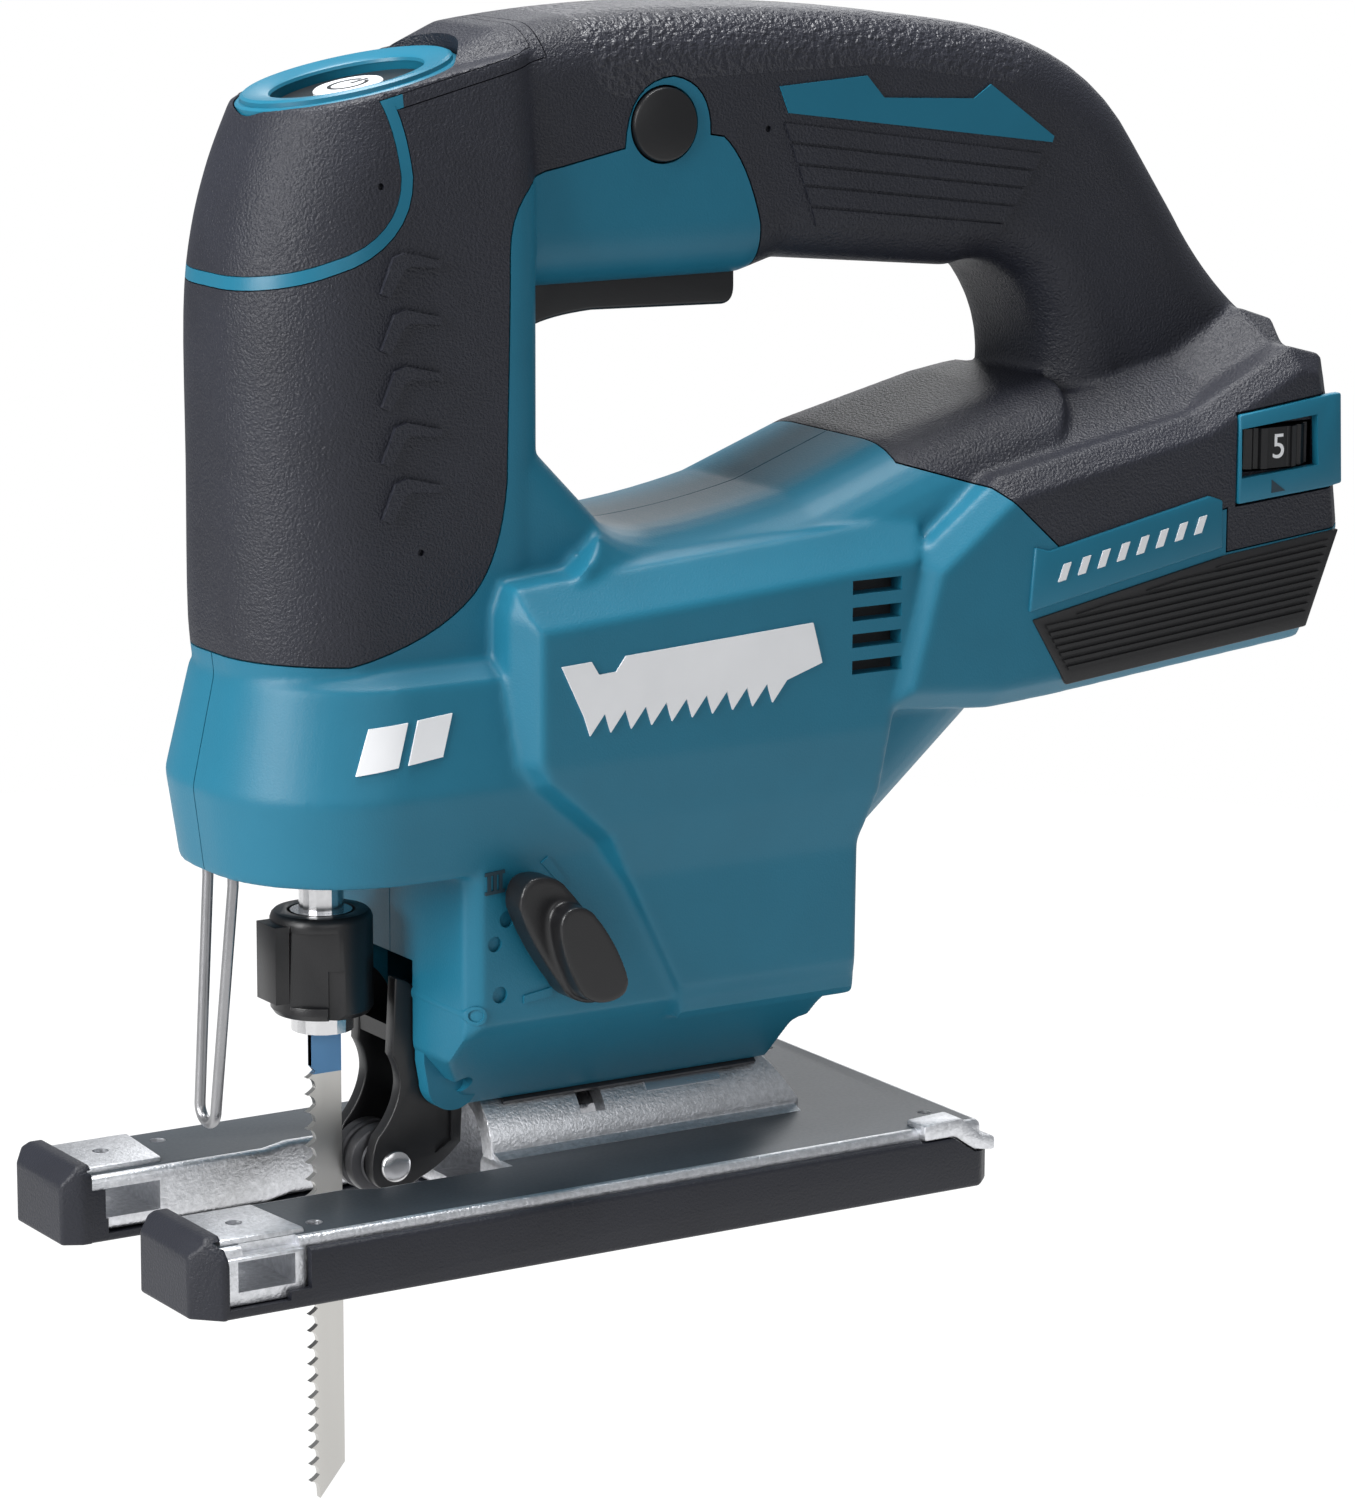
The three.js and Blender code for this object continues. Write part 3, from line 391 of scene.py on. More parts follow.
def ramp(tree, value, low, high):
    node = tree.nodes.new("ShaderNodeValToRGB")
    node.color_ramp.elements[0].position = 0.25
    node.color_ramp.elements[1].position = 0.75
    node.color_ramp.elements[0].color = (*low, 1)
    node.color_ramp.elements[1].color = (*high, 1)
    tree.links.new(value, node.inputs["Fac"])
    return node.outputs["Color"]


def bump(tree, value, shader, strength, distance):
    node = tree.nodes.new("ShaderNodeBump")
    node.inputs["Strength"].default_value = strength
    node.inputs["Distance"].default_value = distance
    tree.links.new(value, node.inputs["Height"])
    tree.links.new(node.outputs["Normal"], shader.inputs["Normal"])


def grained(name, dark, light, rough, grain, strength, distance, metallic=0.0, specular=0.5,
            stretch=(1, 1, 1), speckle=45):
    """Moulded, cast or brushed finish: a fine grain, and a slow change of tone over it."""
    material, tree, shader = new_material(name)
    shader.inputs["Metallic"].default_value = metallic
    shader.inputs["Specular IOR Level"].default_value = specular
    tone = noise(tree, speckle, 3, 0.6, stretch)
    tree.links.new(ramp(tree, tone, dark, light), shader.inputs["Base Color"])
    fine = noise(tree, grain, 2, 0.55, stretch)
    spread = tree.nodes.new("ShaderNodeMapRange")
    spread.inputs["To Min"].default_value = rough - ROUGHNESS_SPREAD
    spread.inputs["To Max"].default_value = rough + ROUGHNESS_SPREAD
    tree.links.new(fine, spread.inputs["Value"])
    tree.links.new(spread.outputs["Result"], shader.inputs["Roughness"])
    bump(tree, fine, shader, strength, distance)
    return material


TEAL_TONES = (0.009, 0.128, 0.205), (0.011, 0.143, 0.228)
BLACK_TONES = (0.004, 0.004, 0.005), (0.007, 0.007, 0.008)
TEAL = grained("teal_plastic", *TEAL_TONES, 0.45, 2600, 0.35, 0.00012, specular=0.35)
TEAL_SMOOTH = grained("teal_smooth", *TEAL_TONES, 0.36, 3500, 0.1, 0.00005, specular=0.35)
RUBBER = grained("soft_rubber", (0.0105, 0.0115, 0.018), (0.0155, 0.017, 0.026), 0.46, 2000,
                1.0, 0.0003, specular=0.4)
RUBBER_COARSE = grained("coarse_rubber", (0.012, 0.013, 0.02), (0.017, 0.0185, 0.028), 0.42, 800,
                       1.0, 0.0008)
BLACK = grained("black_plastic", *BLACK_TONES, 0.36, 3000, 0.25, 0.00008)
BLACK_MATT = grained("black_matt", *BLACK_TONES, 0.55, 2500, 0.3, 0.0001)
COVER = grained("cover_plastic", (0.0095, 0.0105, 0.016), (0.014, 0.0155, 0.023), 0.48, 2000,
               0.7, 0.0002, specular=0.4)
CAST = grained("cast_aluminium", (0.55, 0.56, 0.58), (0.82, 0.83, 0.86), 0.42, 1800, 0.6, 0.0002, 1.0,
               speckle=900)
MILLED = grained("milled_aluminium", (0.66, 0.67, 0.7), (0.8, 0.81, 0.84), 0.28, 900, 0.25, 0.00004, 1,
                 stretch=(0.06, 1, 1))
STEEL = grained("bright_steel", (0.6, 0.6, 0.61), (0.74, 0.74, 0.75), 0.22, 1500, 0.12, 0.00003, 1.0)
GREY_STEEL = grained("grey_steel", (0.3, 0.3, 0.31), (0.42, 0.42, 0.43), 0.34, 1200, 0.25, 0.00006, 1.0)
DARK_STEEL = grained("dark_steel", (0.05, 0.05, 0.055), (0.09, 0.09, 0.095), 0.38, 1500,
                    0.3, 0.0001, 0.8)
BLADE_STEEL = grained("blade_steel", (0.5, 0.49, 0.47), (0.66, 0.65, 0.62), 0.3, 700, 0.3, 0.00004, 1.0,
                      stretch=(1, 1, 0.05))
BLUE_INK = grained("blue_ink", (0.08, 0.23, 0.45), (0.11, 0.29, 0.53), 0.42, 1500, 0.15, 0.00003)
WHITE_INK = grained("white_ink", (0.7, 0.71, 0.73), (0.78, 0.79, 0.81), 0.42, 2500, 0.2, 0.00006)
DARK_INK = grained("dark_ink", (0.01, 0.03, 0.045), (0.014, 0.038, 0.055), 0.5, 2500, 0.2, 0.00006)
# Painted reflection: a dark colour for the plate's flat top face, standing in for the dark surroundings
# that its satin metal mirrors.
PLATE_PAINTED_REFLECTION = grained("plate_painted_reflection", (0.04, 0.05, 0.06), (0.055, 0.066, 0.078), 0.42, 1400, 0.2,
                       0.00004, 0.3, specular=0.35)
COPPER = grained("copper", (0.6, 0.32, 0.14), (0.75, 0.42, 0.2), 0.3, 1500, 0.15, 0.00004, 1.0)
BOARD = grained("circuit_board", (0.01, 0.09, 0.04), (0.015, 0.13, 0.055), 0.45, 1500, 0.2, 0.00005)
FLOOR = grained("pale_floor", (0.05, 0.05, 0.05), (0.07, 0.07, 0.07), 0.9, 60,
                 0.05, 0.0005, specular=0.1)
floor_inputs = FLOOR.node_tree.nodes["Principled BSDF"].inputs
floor_inputs["Emission Color"].default_value = (1, 1, 1, 1)
floor_inputs["Emission Strength"].default_value = 1.0


def finish_piece(obj, name, body, material, replaces=(), sharp=32):
    """Scales a piece to metres, names it, and gives it its finish and its body."""
    obj.name = name
    obj.data.name = name
    obj.data.transform(Matrix.Scale(0.001, 4))
    obj.data.shade_smooth()
    obj.data.set_sharp_from_angle(angle=math.radians(sharp))
    obj.data.materials.clear()
    obj.data.materials.append(material)
    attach(obj, body)
    if replaces:
        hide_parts(*replaces)
    return obj


# ---------------------------------------------------------------- dimensions shared by pieces

SHELL = 3.0                # wall of the housing
SEAM = 0.3                 # gap between the hard shell and the soft cover
WIDE = 60                  # further to each side than any piece reaches
PANEL_X, PANEL_Z, PANEL_TILT = -31.2, 205.8, -0.207
LOCK_X, LOCK_Z, LOCK_R = 22.5, 197, 6.6
DIAL_X, DIAL_Y, DIAL_Z, DIAL_R = 145, -25.2, 132.8, 13
FORK_X, FORK_Z = -17.6, 27.6
ROLLER_X, ROLLER_Z = -27.7, 12.5
LEVER_X, LEVER_Z = -5.5, 53.5
BARREL_Z = 12.5            # height of the base's tilt axis
BARREL_R = 12
BOLT_X = 12                # the base bolt with the base at its front stop
BOLT_SLIDE = 12            # how far the base slides past it
ROD_X = -37.9
SHOE_HALF = 37.4
FLOOR_R, FLOOR_TOP = 600, -51.5
GUARD_X, GUARD_TOP_X, GUARD_HALF = -60.9, -57.8, 4.8
VENT_FRONT, VENT_REAR, VENT_LOW, VENT_HIGH = 51.6, 62.2, 98.6, 2.5
VENT_ROWS, VENT_PITCH = 4, 4.85


def panel_plane(x):
    return PANEL_Z - PANEL_TILT * (x - PANEL_X)


# ---------------------------------------------------------------- body form

def column_zone(inset):
    """The upright front of the handle, ending in the tilted top that carries the button ring."""
    def at(front, rear, half, nose, height):
        return nose_ring(front + inset, rear - inset, half - inset, nose, nose - 1, 7, height)

    rings = [
        at(-57.8, -4, 22.4, 20, lambda x: 100),
        at(-59.2, -4, 23, 20, lambda x: 112),
        at(-59.2, -4, 23, 20, lambda x: 140),
        at(-59.2, -4, 23, 20, lambda x: 166),
        at(-57.6, -3.8, 22.6, 19.5, lambda x: 180),
        at(-54.4, -3.4, 21.4, 18.5, lambda x: 192),
        at(-50.6, -3, 19, 17, lambda x: panel_plane(x) - inset),
    ]
    return skin("column", smooth_between(rings, 4))


def head_zone(inset):
    """The nose over the blade clamp, with its edge line halfway up."""
    def at(front, half, z):
        return nose_ring(front + inset, 12, half - inset, 25, half - inset - 4, 2, lambda x: z)

    return skin("head", [
        at(-60.9, 28.4, 69 + inset), at(-62.9, 30.8, 84.5),
        at(-58.6, 27.6, 103.6 - inset / 2), at(-57.8, 22.6, 106.6 - inset),
    ])


HANDLE = [
    (-30, 205), (-8, 214.6), (28, 217, 10, 217), (93, 211.4, 64, 216.6), (129, 189, 118, 206.5),
    (138.6, 175), (156, 155, 146, 163), (156, 140), (108, 138), (103.4, 164, 113, 152),
    (88, 167.4, 96, 170), (49.6, 171.2), (42, 169), (-3.8, 169), (-30, 172),
]
BARREL = [
    (-34, 152), (-34, 62), (60, 62), (100, 96), (112, 120), (109, 146), (99.3, 144.5),
    (70.6, 137.6), (48.8, 129.6), (19.9, 125.3, 34, 126.2), (7.8, 129.2, 12.6, 125),
    (-4.6, 141.8), (-12, 152),
]
BARREL_SPACE = [(-13, 56), (-13, 111), (6, 127), (6, 160), (130, 160), (130, 56)]
GUSSET = [
    (-20, 152), (-20, 96), (16, 96), (16, 121), (7.8, 129.2, 11, 125.4), (-4.4, 141.8), (-4.4, 152),
]
BULGE = [
    (-16, 114.5), (-16, 88), (-13, 83.4), (1.2, 72.6), (7.2, 64), (19.2, 40), (19.2, 36), (56.7, 36),
    (57, 66.6), (61.2, 75.6), (66.3, 102.8), (70, 122), (66, 140), (-6, 140), (-12, 126),
]
SHOE = [
    (58.2, 91), (82.4, 89), (95.8, 89.9), (153.7, 95.4), (162.6, 115.6), (160, 137),
    (157.6, 149), (150, 151), (127.6, 140), (84, 131.5), (66, 118),
]
SHOE_ROOF = [
    (70, 116), (84, 135), (104, 141.5), (134, 148), (150, 156.5), (157.5, 154), (160.4, 134), (156, 110),
]


def bulge_zone(inset):
    """The motor housing's raised side: flat in the middle, with facets above and below."""
    profile = [
        (28.6, 37.6), (29.3, 41.4), (30.9, 44.6), (30.9, 66), (33.2, 76.8), (34.9, 88.2),
        (34.9, 114.6), (28.4, 121.8), (12, 123.2),
    ]

    def section(x, rise):
        half = []
        for y, z in profile:
            lift = rise if z > 100 else 0
            drop = inset if z > 120 else 0
            half.append((y - inset, z + lift - drop))
        return [(x, -y, z) for y, z in half] + [(x, y, z) for y, z in reversed(half)]

    slab = skin("slab", [section(-30, -3.7), section(80, 4.3)])
    return meet(slab, pillow(BULGE, 35.1, 3.4, 6.5, 1, inset))


def lower_zone(inset):
    """The narrow body over the base, with its underside cut to a vee for the bevel."""
    side = 28.7 - inset
    flare = inset * math.sqrt(2)
    section = [
        (-side, 76), (-side, 42 + flare / 2), (-26.9 + inset / 2, 39.8 + flare), (-9, 22.1 + flare),
        (9, 22.1 + flare), (26.9 - inset / 2, 39.8 + flare), (side, 42 + flare / 2), (side, 76),
    ]
    plan = [
        (-24 + inset, -26.4 + inset), (-20.5 + inset, -29.5 + inset), (55.6 - inset, -31 + inset),
        (55.6 - inset, 31 - inset), (-20.5 + inset, 29.5 - inset), (-24 + inset, 26.4 - inset),
    ]
    front = [
        (-24 + inset, 90), (-24 + inset, 34 + flare), (-14 + inset, 22 + inset),
        (50.5 - inset, 22 + inset), (50.9 - inset, 31.4), (53.6 - inset, 31.8), (54 - inset, 36.8),
        (56.2 - inset, 39.4), (56 - inset, 90),
    ]
    body = prism("x", section, -30, 60)
    return meet(body, prism("z", plan, 10, 90), prism("y", front, -40, 40))


def body_zones(inset):
    """The overlapping forms that make up the housing, each made smaller by inset all round."""
    return [
        column_zone(inset),
        head_zone(inset),
        pillow(HANDLE, 17.5, 10, 9, 8, inset),
        meet(pillow(BARREL, 29.4, 14, 17, 8, inset), prism("y", BARREL_SPACE, -60, 60, grow=-inset)),
        pillow(GUSSET, 22.6, 6, 7, 6, inset),
        bulge_zone(inset),
        pillow(SHOE, SHOE_HALF, 4, 4, 1, inset),
        pillow(SHOE_ROOF, 33.5, 8, 15, 1, inset),
        lower_zone(inset),
    ]


def ears():
    """The two lugs that hold the guide fork's pin."""
    radius, thick = 5.3, 3.4
    made = []
    for low in (-11.6, 8.2):
        neck = prism("y", [
            (FORK_X - radius, FORK_Z), (FORK_X + radius, FORK_Z), (FORK_X + radius + 5, 41),
            (-23.6, 41), (-23.6, 31.6),
        ], low, low + thick)
        made.append(join(rod("y", radius, low, low + thick, FORK_X, FORK_Z), neck))
    return made


def merged(name, parts, voxel, smoothing):
    """Joins overlapping closed forms into one, with small fillets where they meet."""
    whole = join(*parts)
    whole.name = name
    remesh = whole.modifiers.new("remesh", "REMESH")
    remesh.mode = "VOXEL"
    remesh.voxel_size = voxel
    if smoothing:
        smooth = whole.modifiers.new("smooth", "SMOOTH")
        smooth.factor = 0.5
        smooth.iterations = smoothing
    return bake(whole)


GRIP_REGION = [
    (-70, 108.5), (-43.6, 107.3), (-19.6, 118, -27, 110.6), (-12.8, 137.2, -14, 124), (-11.9, 176.5),
    (1.5, 190.6, -11.6, 189.2), (14.5, 193.2), (24.5, 205.4, 15, 205),
    (32.2, 194.8, 32.4, 204), (35, 194.3),
    (42.8, 178.5, 40, 190), (44.5, 165), (69, 165), (69, 134), (82.4, 129.8), (96.1, 117.5),
    (101.8, 115.7), (133.4, 122.3), (133.4, 114), (180, 118.6), (180, 230), (-70, 230),
]
CROWN_REGION = [
    (-70, 173), (-46.2, 177.3, -56, 173.6), (-32.5, 191, -33, 181), (-35.3, 203.8, -33, 199),
    (-3.6, 211.4), (-8, 240), (-70, 240),
]


def tilt_to_panel(obj, rx=1.0, ry=1.0):
    """Stretches a piece made at the origin, and lays it on the tilted top of the head."""
    obj.data.transform(
        Matrix.Translation((PANEL_X, 0, PANEL_Z)) @ Matrix.Rotation(PANEL_TILT, 4, "Y")
        @ Matrix.Diagonal((rx, ry, 1, 1))
    )
    return obj


def turned(axis, profile, a, b, sides=64):
    """Turns a closed (radius, height) outline about an axis into a ring."""
    count = len(profile)
    vertices = []
    for i in range(sides):
        t = 2 * math.pi * i / sides
        vertices += [on_axis(axis, a + r * math.cos(t), b + r * math.sin(t), w) for r, w in profile]
    faces = []
    for i in range(sides):
        j = (i + 1) % sides
        for k in range(count):
            m = (k + 1) % count
            faces.append((i * count + k, i * count + m, j * count + m, j * count + k))
    return mesh_object("turned", vertices, faces)


def offset_form(form, distance):
    """The body form with its surface moved along its normals."""
    moved = copy_of(form)
    displace = moved.modifiers.new("offset", "DISPLACE")
    displace.mid_level = 0
    displace.strength = distance
    return bake(moved)


def inlay(outline, side, proud, under):
    """A thin plate that follows the body's surface and stands a little proud of it."""
    return cut(meet(side_prism(side, outline, 5, WIDE), copy_of(proud)), copy_of(under))


def groove(target, outline, side, under):
    """Cuts a shallow recess whose floor follows the body's surface."""
    return cut(target, cut(side_prism(side, outline, 5, WIDE), copy_of(under)))


def shifted(points, dx, dz):
    return [(x + dx, z + dz) for x, z in points]


COARSE_REGION = [
    (4, 230), (6.9, 213), (8.9, 205), (16.1, 201.9, 12, 201.8), (23.3, 202.5),
    (28, 204.8), (46.4, 205.2),
    (67.8, 205.6), (97.7, 201), (103, 204), (110, 230),
]
STRIPE = [
    (46.5, 202.6), (65.1, 203.7), (68.8, 199.6), (88.5, 198.6), (92.2, 201),
    (106.5, 190.9), (106.1, 189.8), (48.4, 197.8),
]
RIB_TOP = ((47.5, 196.4), (104.2, 188))
RIB_LOW = ((54.8, 177), (94, 172.3))
RIB_COUNT, RIB_GAP = 5, 0.015
CHEVRON = [(-5.8, -5.2), (-3.2, 0.8), (-1, 1.5), (6, -0.2), (6, -1.5), (0, -0.9), (-1.3, -1.5), (-4, -6)]
CHEVRON_X, CHEVRON_HEIGHTS = -32, (176.8, 167.1, 157.4, 147.7, 138)
SPEED_RECESS = [(135.2, 122.3), (157.2, 124), (160.5, 124.5), (159.8, 142.6), (157, 142.4), (135.2, 140)]
SPEED_FRAME = [(135.6, 122.8), (157, 124.4), (160, 124.9), (159.3, 142.1), (157, 142), (135.6, 139.5)]
SPEED_WINDOW = [(136, 136.9), (153.7, 138.4), (154.2, 128.8), (136.2, 127.6)]
NAMEPLATE = [(89.5, 118.8), (92.8, 117.9), (128.9, 125), (132, 123.9), (132.2, 115), (88.4, 106.9)]
RIBBED_PANEL = [(89.2, 105.4), (132.6, 113.4), (155, 115.8), (159.6, 116.2), (152.4, 98.2), (97, 92.6)]
PICTOGRAM_X, PICTOGRAM_Z = -9.0, 96.6


def saw_blade_sign():
    """A plain saw blade with its teeth down, rising to the rear like the facets."""
    rise, pitch, depth = 0.055, 4.2, 3.6
    outline = [(0, 9.5), (4.5, 0)]
    x = 4.5
    while x < 46:
        outline += [(x + 1.2, -depth), (x + pitch, 0)]
        x += pitch
    outline += [(54, 2), (52, 9.5), (13, 9.5), (11, 7), (7.5, 7), (6, 9.5)]
    return [(PICTOGRAM_X + u, PICTOGRAM_Z + v + rise * u) for u, v in outline]


def rib_bands():
    """The bands under the handle's stripe, narrowing downwards."""
    bands = []
    for i in range(RIB_COUNT):
        corners = []
        start, end = i / RIB_COUNT + RIB_GAP, (i + 1) / RIB_COUNT - RIB_GAP
        for share, ends in ((start, (0, 1)), (end, (1, 0))):
            for k in ends:
                corners.append(tuple(Vector(RIB_TOP[k]).lerp(Vector(RIB_LOW[k]), share)))
        bands.append(corners)
    return bands


def ribbed_side(side):
    """The black panel under the nameplate, with fine ribs along it."""
    plate = soften(side_prism(side, RIBBED_PANEL, SHOE_HALF - 0.6, SHOE_HALF + 0.45), 0.35, 2)
    bars = []
    for i in range(13):
        z = 95.4 + i * 1.42
        bar = [(84, z - 1.2), (164, z + 6.4), (164, z + 7.05), (84, z - 0.55)]
        bars.append(side_prism(side, bar, SHOE_HALF + 0.3, SHOE_HALF + 0.95))
    ribs = meet(join(*bars), prism("y", RIBBED_PANEL, -WIDE, WIDE, grow=-1.6))
    return join(plate, ribs)


def slanted_marks(x, z, count, side):
    """A row of small slanted bars, standing where the real tool has a word."""
    bars = []
    for i in range(count):
        u, v = x + i * 4.4, z + i * 0.86
        bar = [(u, v), (u + 1.7, v + 0.3), (u + 2.9, v + 3.5), (u + 1.2, v + 3.2)]
        bars.append(side_prism(side, bar, SHOE_HALF + 0.4, SHOE_HALF + 0.75))
    return join(*bars)


def housing_openings():
    """What is cut through the housing: holes, slots, the battery bay and the room for the base."""
    openings = [
        rod("y", LOCK_R + 0.35, -40, 40, LOCK_X, LOCK_Z),
        box(-1.5, 44, -9.6, 9.6, 158, 186),
        box(84, 170, -29, 29, 98, 105),
        box(84, 170, -24, 24, 80, 98.5),
        rod("x", 13.5, -40, 80, 0, BARREL_Z, 64),
        box(-50.5, -26.8, -12.4, 12.4, 60, 82),
        rod("y", 1.9, -17, 17, FORK_X, FORK_Z),
        box(-30, -11.5, -8.2, 8.2, 10, 50),
        rod("z", 2.9, 10, 60, BOLT_X, 0),
        tilt_to_panel(rod("z", 1, -2.9, 20, 0, 0, 64), 20.6, 18.2),
        rod("z", 1.3, 60, 76, GUARD_TOP_X, GUARD_HALF, 16),
        rod("z", 1.3, 60, 76, GUARD_TOP_X, -GUARD_HALF, 16),
    ]
    for row in range(VENT_ROWS):
        z = VENT_LOW + row * VENT_PITCH
        openings.append(box(VENT_FRONT, VENT_REAR, -40, 40, z, z + VENT_HIGH))
    openings += [
        rod("z", DIAL_R + 0.6, DIAL_Z - 4.4, DIAL_Z + 4.4, DIAL_X, DIAL_Y),
        box(DIAL_X - 9.3, DIAL_X + 9.3, -45, DIAL_Y, DIAL_Z - 4.4, DIAL_Z + 4.4),
        prism("y", SPEED_RECESS, -WIDE, -SHOE_HALF + 1.6),
        rod("y", 3.3, -40, -20, LEVER_X, LEVER_Z),
    ]
    for i in range(4):
        low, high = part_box(f"housing_screw_{i + 1}")
        x, z = (low.x + high.x) * 500, (low.z + high.z) * 500
        openings.append(rod("y", 3.3, low.y * 1000 - 0.4, WIDE, x, z, 32))
    return openings


def build_shells(form, under, deep):
    """The hard shell, the soft cover with its coarse patch, and the cap with its trim line."""
    hollow = merged("hollow", body_zones(SHELL + 1), 1.6, 0)
    whole = cut(copy_of(form), hollow, *housing_openings())
    join(whole, *ears())
    cut(whole, prism("x", [
        (-40, BARREL_Z + 37.8), (0, BARREL_Z - 2.2), (40, BARREL_Z + 37.8), (40, -20), (-40, -20),
    ], -90, 90))

    shell = cut(copy_of(whole), prism("y", GRIP_REGION, -WIDE, WIDE, grow=SEAM / 2))
    crown_block = meet(copy_of(whole), prism("y", CROWN_REGION, -WIDE, WIDE, grow=2.2))
    crown = meet(copy_of(crown_block), prism("y", CROWN_REGION, -WIDE, WIDE, grow=-0.1))
    trim = cut(crown_block, prism("y", CROWN_REGION, -WIDE, WIDE, grow=0.05))
    grip = meet(whole, prism("y", GRIP_REGION, -WIDE, WIDE, grow=-SEAM / 2))
    cut(grip, prism("y", CROWN_REGION, -WIDE, WIDE, grow=2.4))
    behind_ring = box(-30.9, 20, -WIDE, WIDE, 199, 240)
    join(grip, meet(copy_of(trim), copy_of(behind_ring)))
    cut(trim, behind_ring)
    patch = meet(copy_of(grip), prism("y", COARSE_REGION, -WIDE, WIDE))
    cut(grip, prism("y", COARSE_REGION, -WIDE, WIDE, grow=0.02))

    seam = box(-90, 200, -0.13, 0.13, 10, 200)
    cut(shell, cut(seam, copy_of(under)))
    for x, z, r in ((-16.4, 60.8, 1.5), (-18.9, 56.6, 1.4), (-17.9, 47.3, 1.5)):
        groove(shell, circle(x, z, r, 32), -1, deep)
    for piece, x, z in ((grip, -30, 126.3), (grip, 44.2, 195.2), (crown, -36.6, 189.6)):
        groove(piece, circle(x, z, 0.6, 16), -1, deep)

    finish_piece(shell, "shell", "housing", TEAL, ["housing_left", "housing_right"])
    finish_piece(grip, "grip", "housing", RUBBER, ["grip_cover_left", "grip_cover_right"])
    finish_piece(patch, "grip_top_patch", "housing", RUBBER_COARSE)
    finish_piece(crown, "crown", "housing", RUBBER, ["crown_cap"])
    finish_piece(trim, "crown_trim", "housing", TEAL_SMOOTH)


def build_side_marks(form, proud, under):
    """What lies on both sides of the housing, following its surface."""
    bold = offset_form(form, 0.8)
    inner, inmost = offset_form(form, -SHELL - 0.6), offset_form(form, -SHELL - 1.1)
    # The vent screen is a plain black sheet just inside the wall behind the vent slots: painted shade,
    # standing in for the dark inside that shows through them.
    shade_sheet_outline = [(50.4, 96.6), (63.4, 96.6), (63.4, 117.4), (50.4, 117.4)]
    for side, label in ((-1, "left"), (1, "right")):
        shade_sheet = inlay(shade_sheet_outline, side, inner, inmost)
        finish_piece(shade_sheet, f"vent_shade_sheet_{label}", "housing", BLACK_MATT)
        stripe = inlay(STRIPE, side, proud, under)
        finish_piece(stripe, f"handle_stripe_{label}", "housing", TEAL_SMOOTH)
        ribs = join(*[inlay(corners, side, proud, under) for corners in rib_bands()])
        finish_piece(ribs, f"handle_ribs_{label}", "housing", RUBBER)
        nubs = join(*[
            inlay(shifted(CHEVRON, CHEVRON_X, z), side, bold, under) for z in CHEVRON_HEIGHTS
        ])
        finish_piece(nubs, f"grip_nubs_{label}", "housing", RUBBER)
        sign = inlay(saw_blade_sign(), side, proud, under)
        finish_piece(sign, f"blade_sign_{label}", "housing", WHITE_INK)
        bars = join(
            inlay([(-46, 89.6), (-43, 97.4), (-36, 98), (-38.6, 90.6)], side, proud, under),
            inlay([(-36.6, 90.8), (-34, 98.2), (-27.2, 98.8), (-29.8, 91.6)], side, proud, under),
        )
        finish_piece(bars, f"head_mark_{label}", "housing", WHITE_INK)
    for tool in (bold, inner, inmost):
        bpy.data.objects.remove(tool)


def build_orbit_marks(proud, under):
    """The scale and the raised stops around the orbit selector, on the left side only."""
    outlines = [
        [(-20.9, 69.6), (-17, 69.9), (-17, 69.3), (-20.9, 69)],
        [(-20.9, 66.2), (-17, 66.5), (-17, 65.9), (-20.9, 65.6)],
    ]
    for x in (-20.4, -19.25, -18.1):
        outlines.append([(x, 66), (x + 0.6, 66), (x + 0.6, 69.5), (x, 69.5)])
    marks = join(*[inlay(outline, -1, proud, under) for outline in outlines])
    finish_piece(marks, "orbit_scale", "housing", DARK_INK)
    x, z = -22.4, 44
    stop = cut(inlay(circle(x, z, 1.7, 32), -1, proud, under), rod("y", 1.15, -WIDE, -20, x, z, 32))
    raised = join(
        inlay([(-13.2, 45.2), (-7.4, 46), (-7.4, 47.4), (-13.2, 46.6)], -1, proud, under),
        inlay([(-9.6, 70.2), (-8.2, 71.2), (-4.6, 66.6), (-5.6, 65.8)], -1, proud, under),
        stop,
    )
    finish_piece(raised, "orbit_stops", "housing", TEAL)


def build_housing():
    """The housing's own pieces, made from one form and from copies of it moved in and out."""
    form = merged("form", body_zones(0), 0.7, 6)
    proud = offset_form(form, 0.35)
    under = offset_form(form, -0.45)
    deep = offset_form(form, -0.9)
    build_shells(form, under, deep)
    build_side_marks(form, proud, under)
    build_orbit_marks(proud, under)
    for tool in (form, proud, under, deep):
        bpy.data.objects.remove(tool)


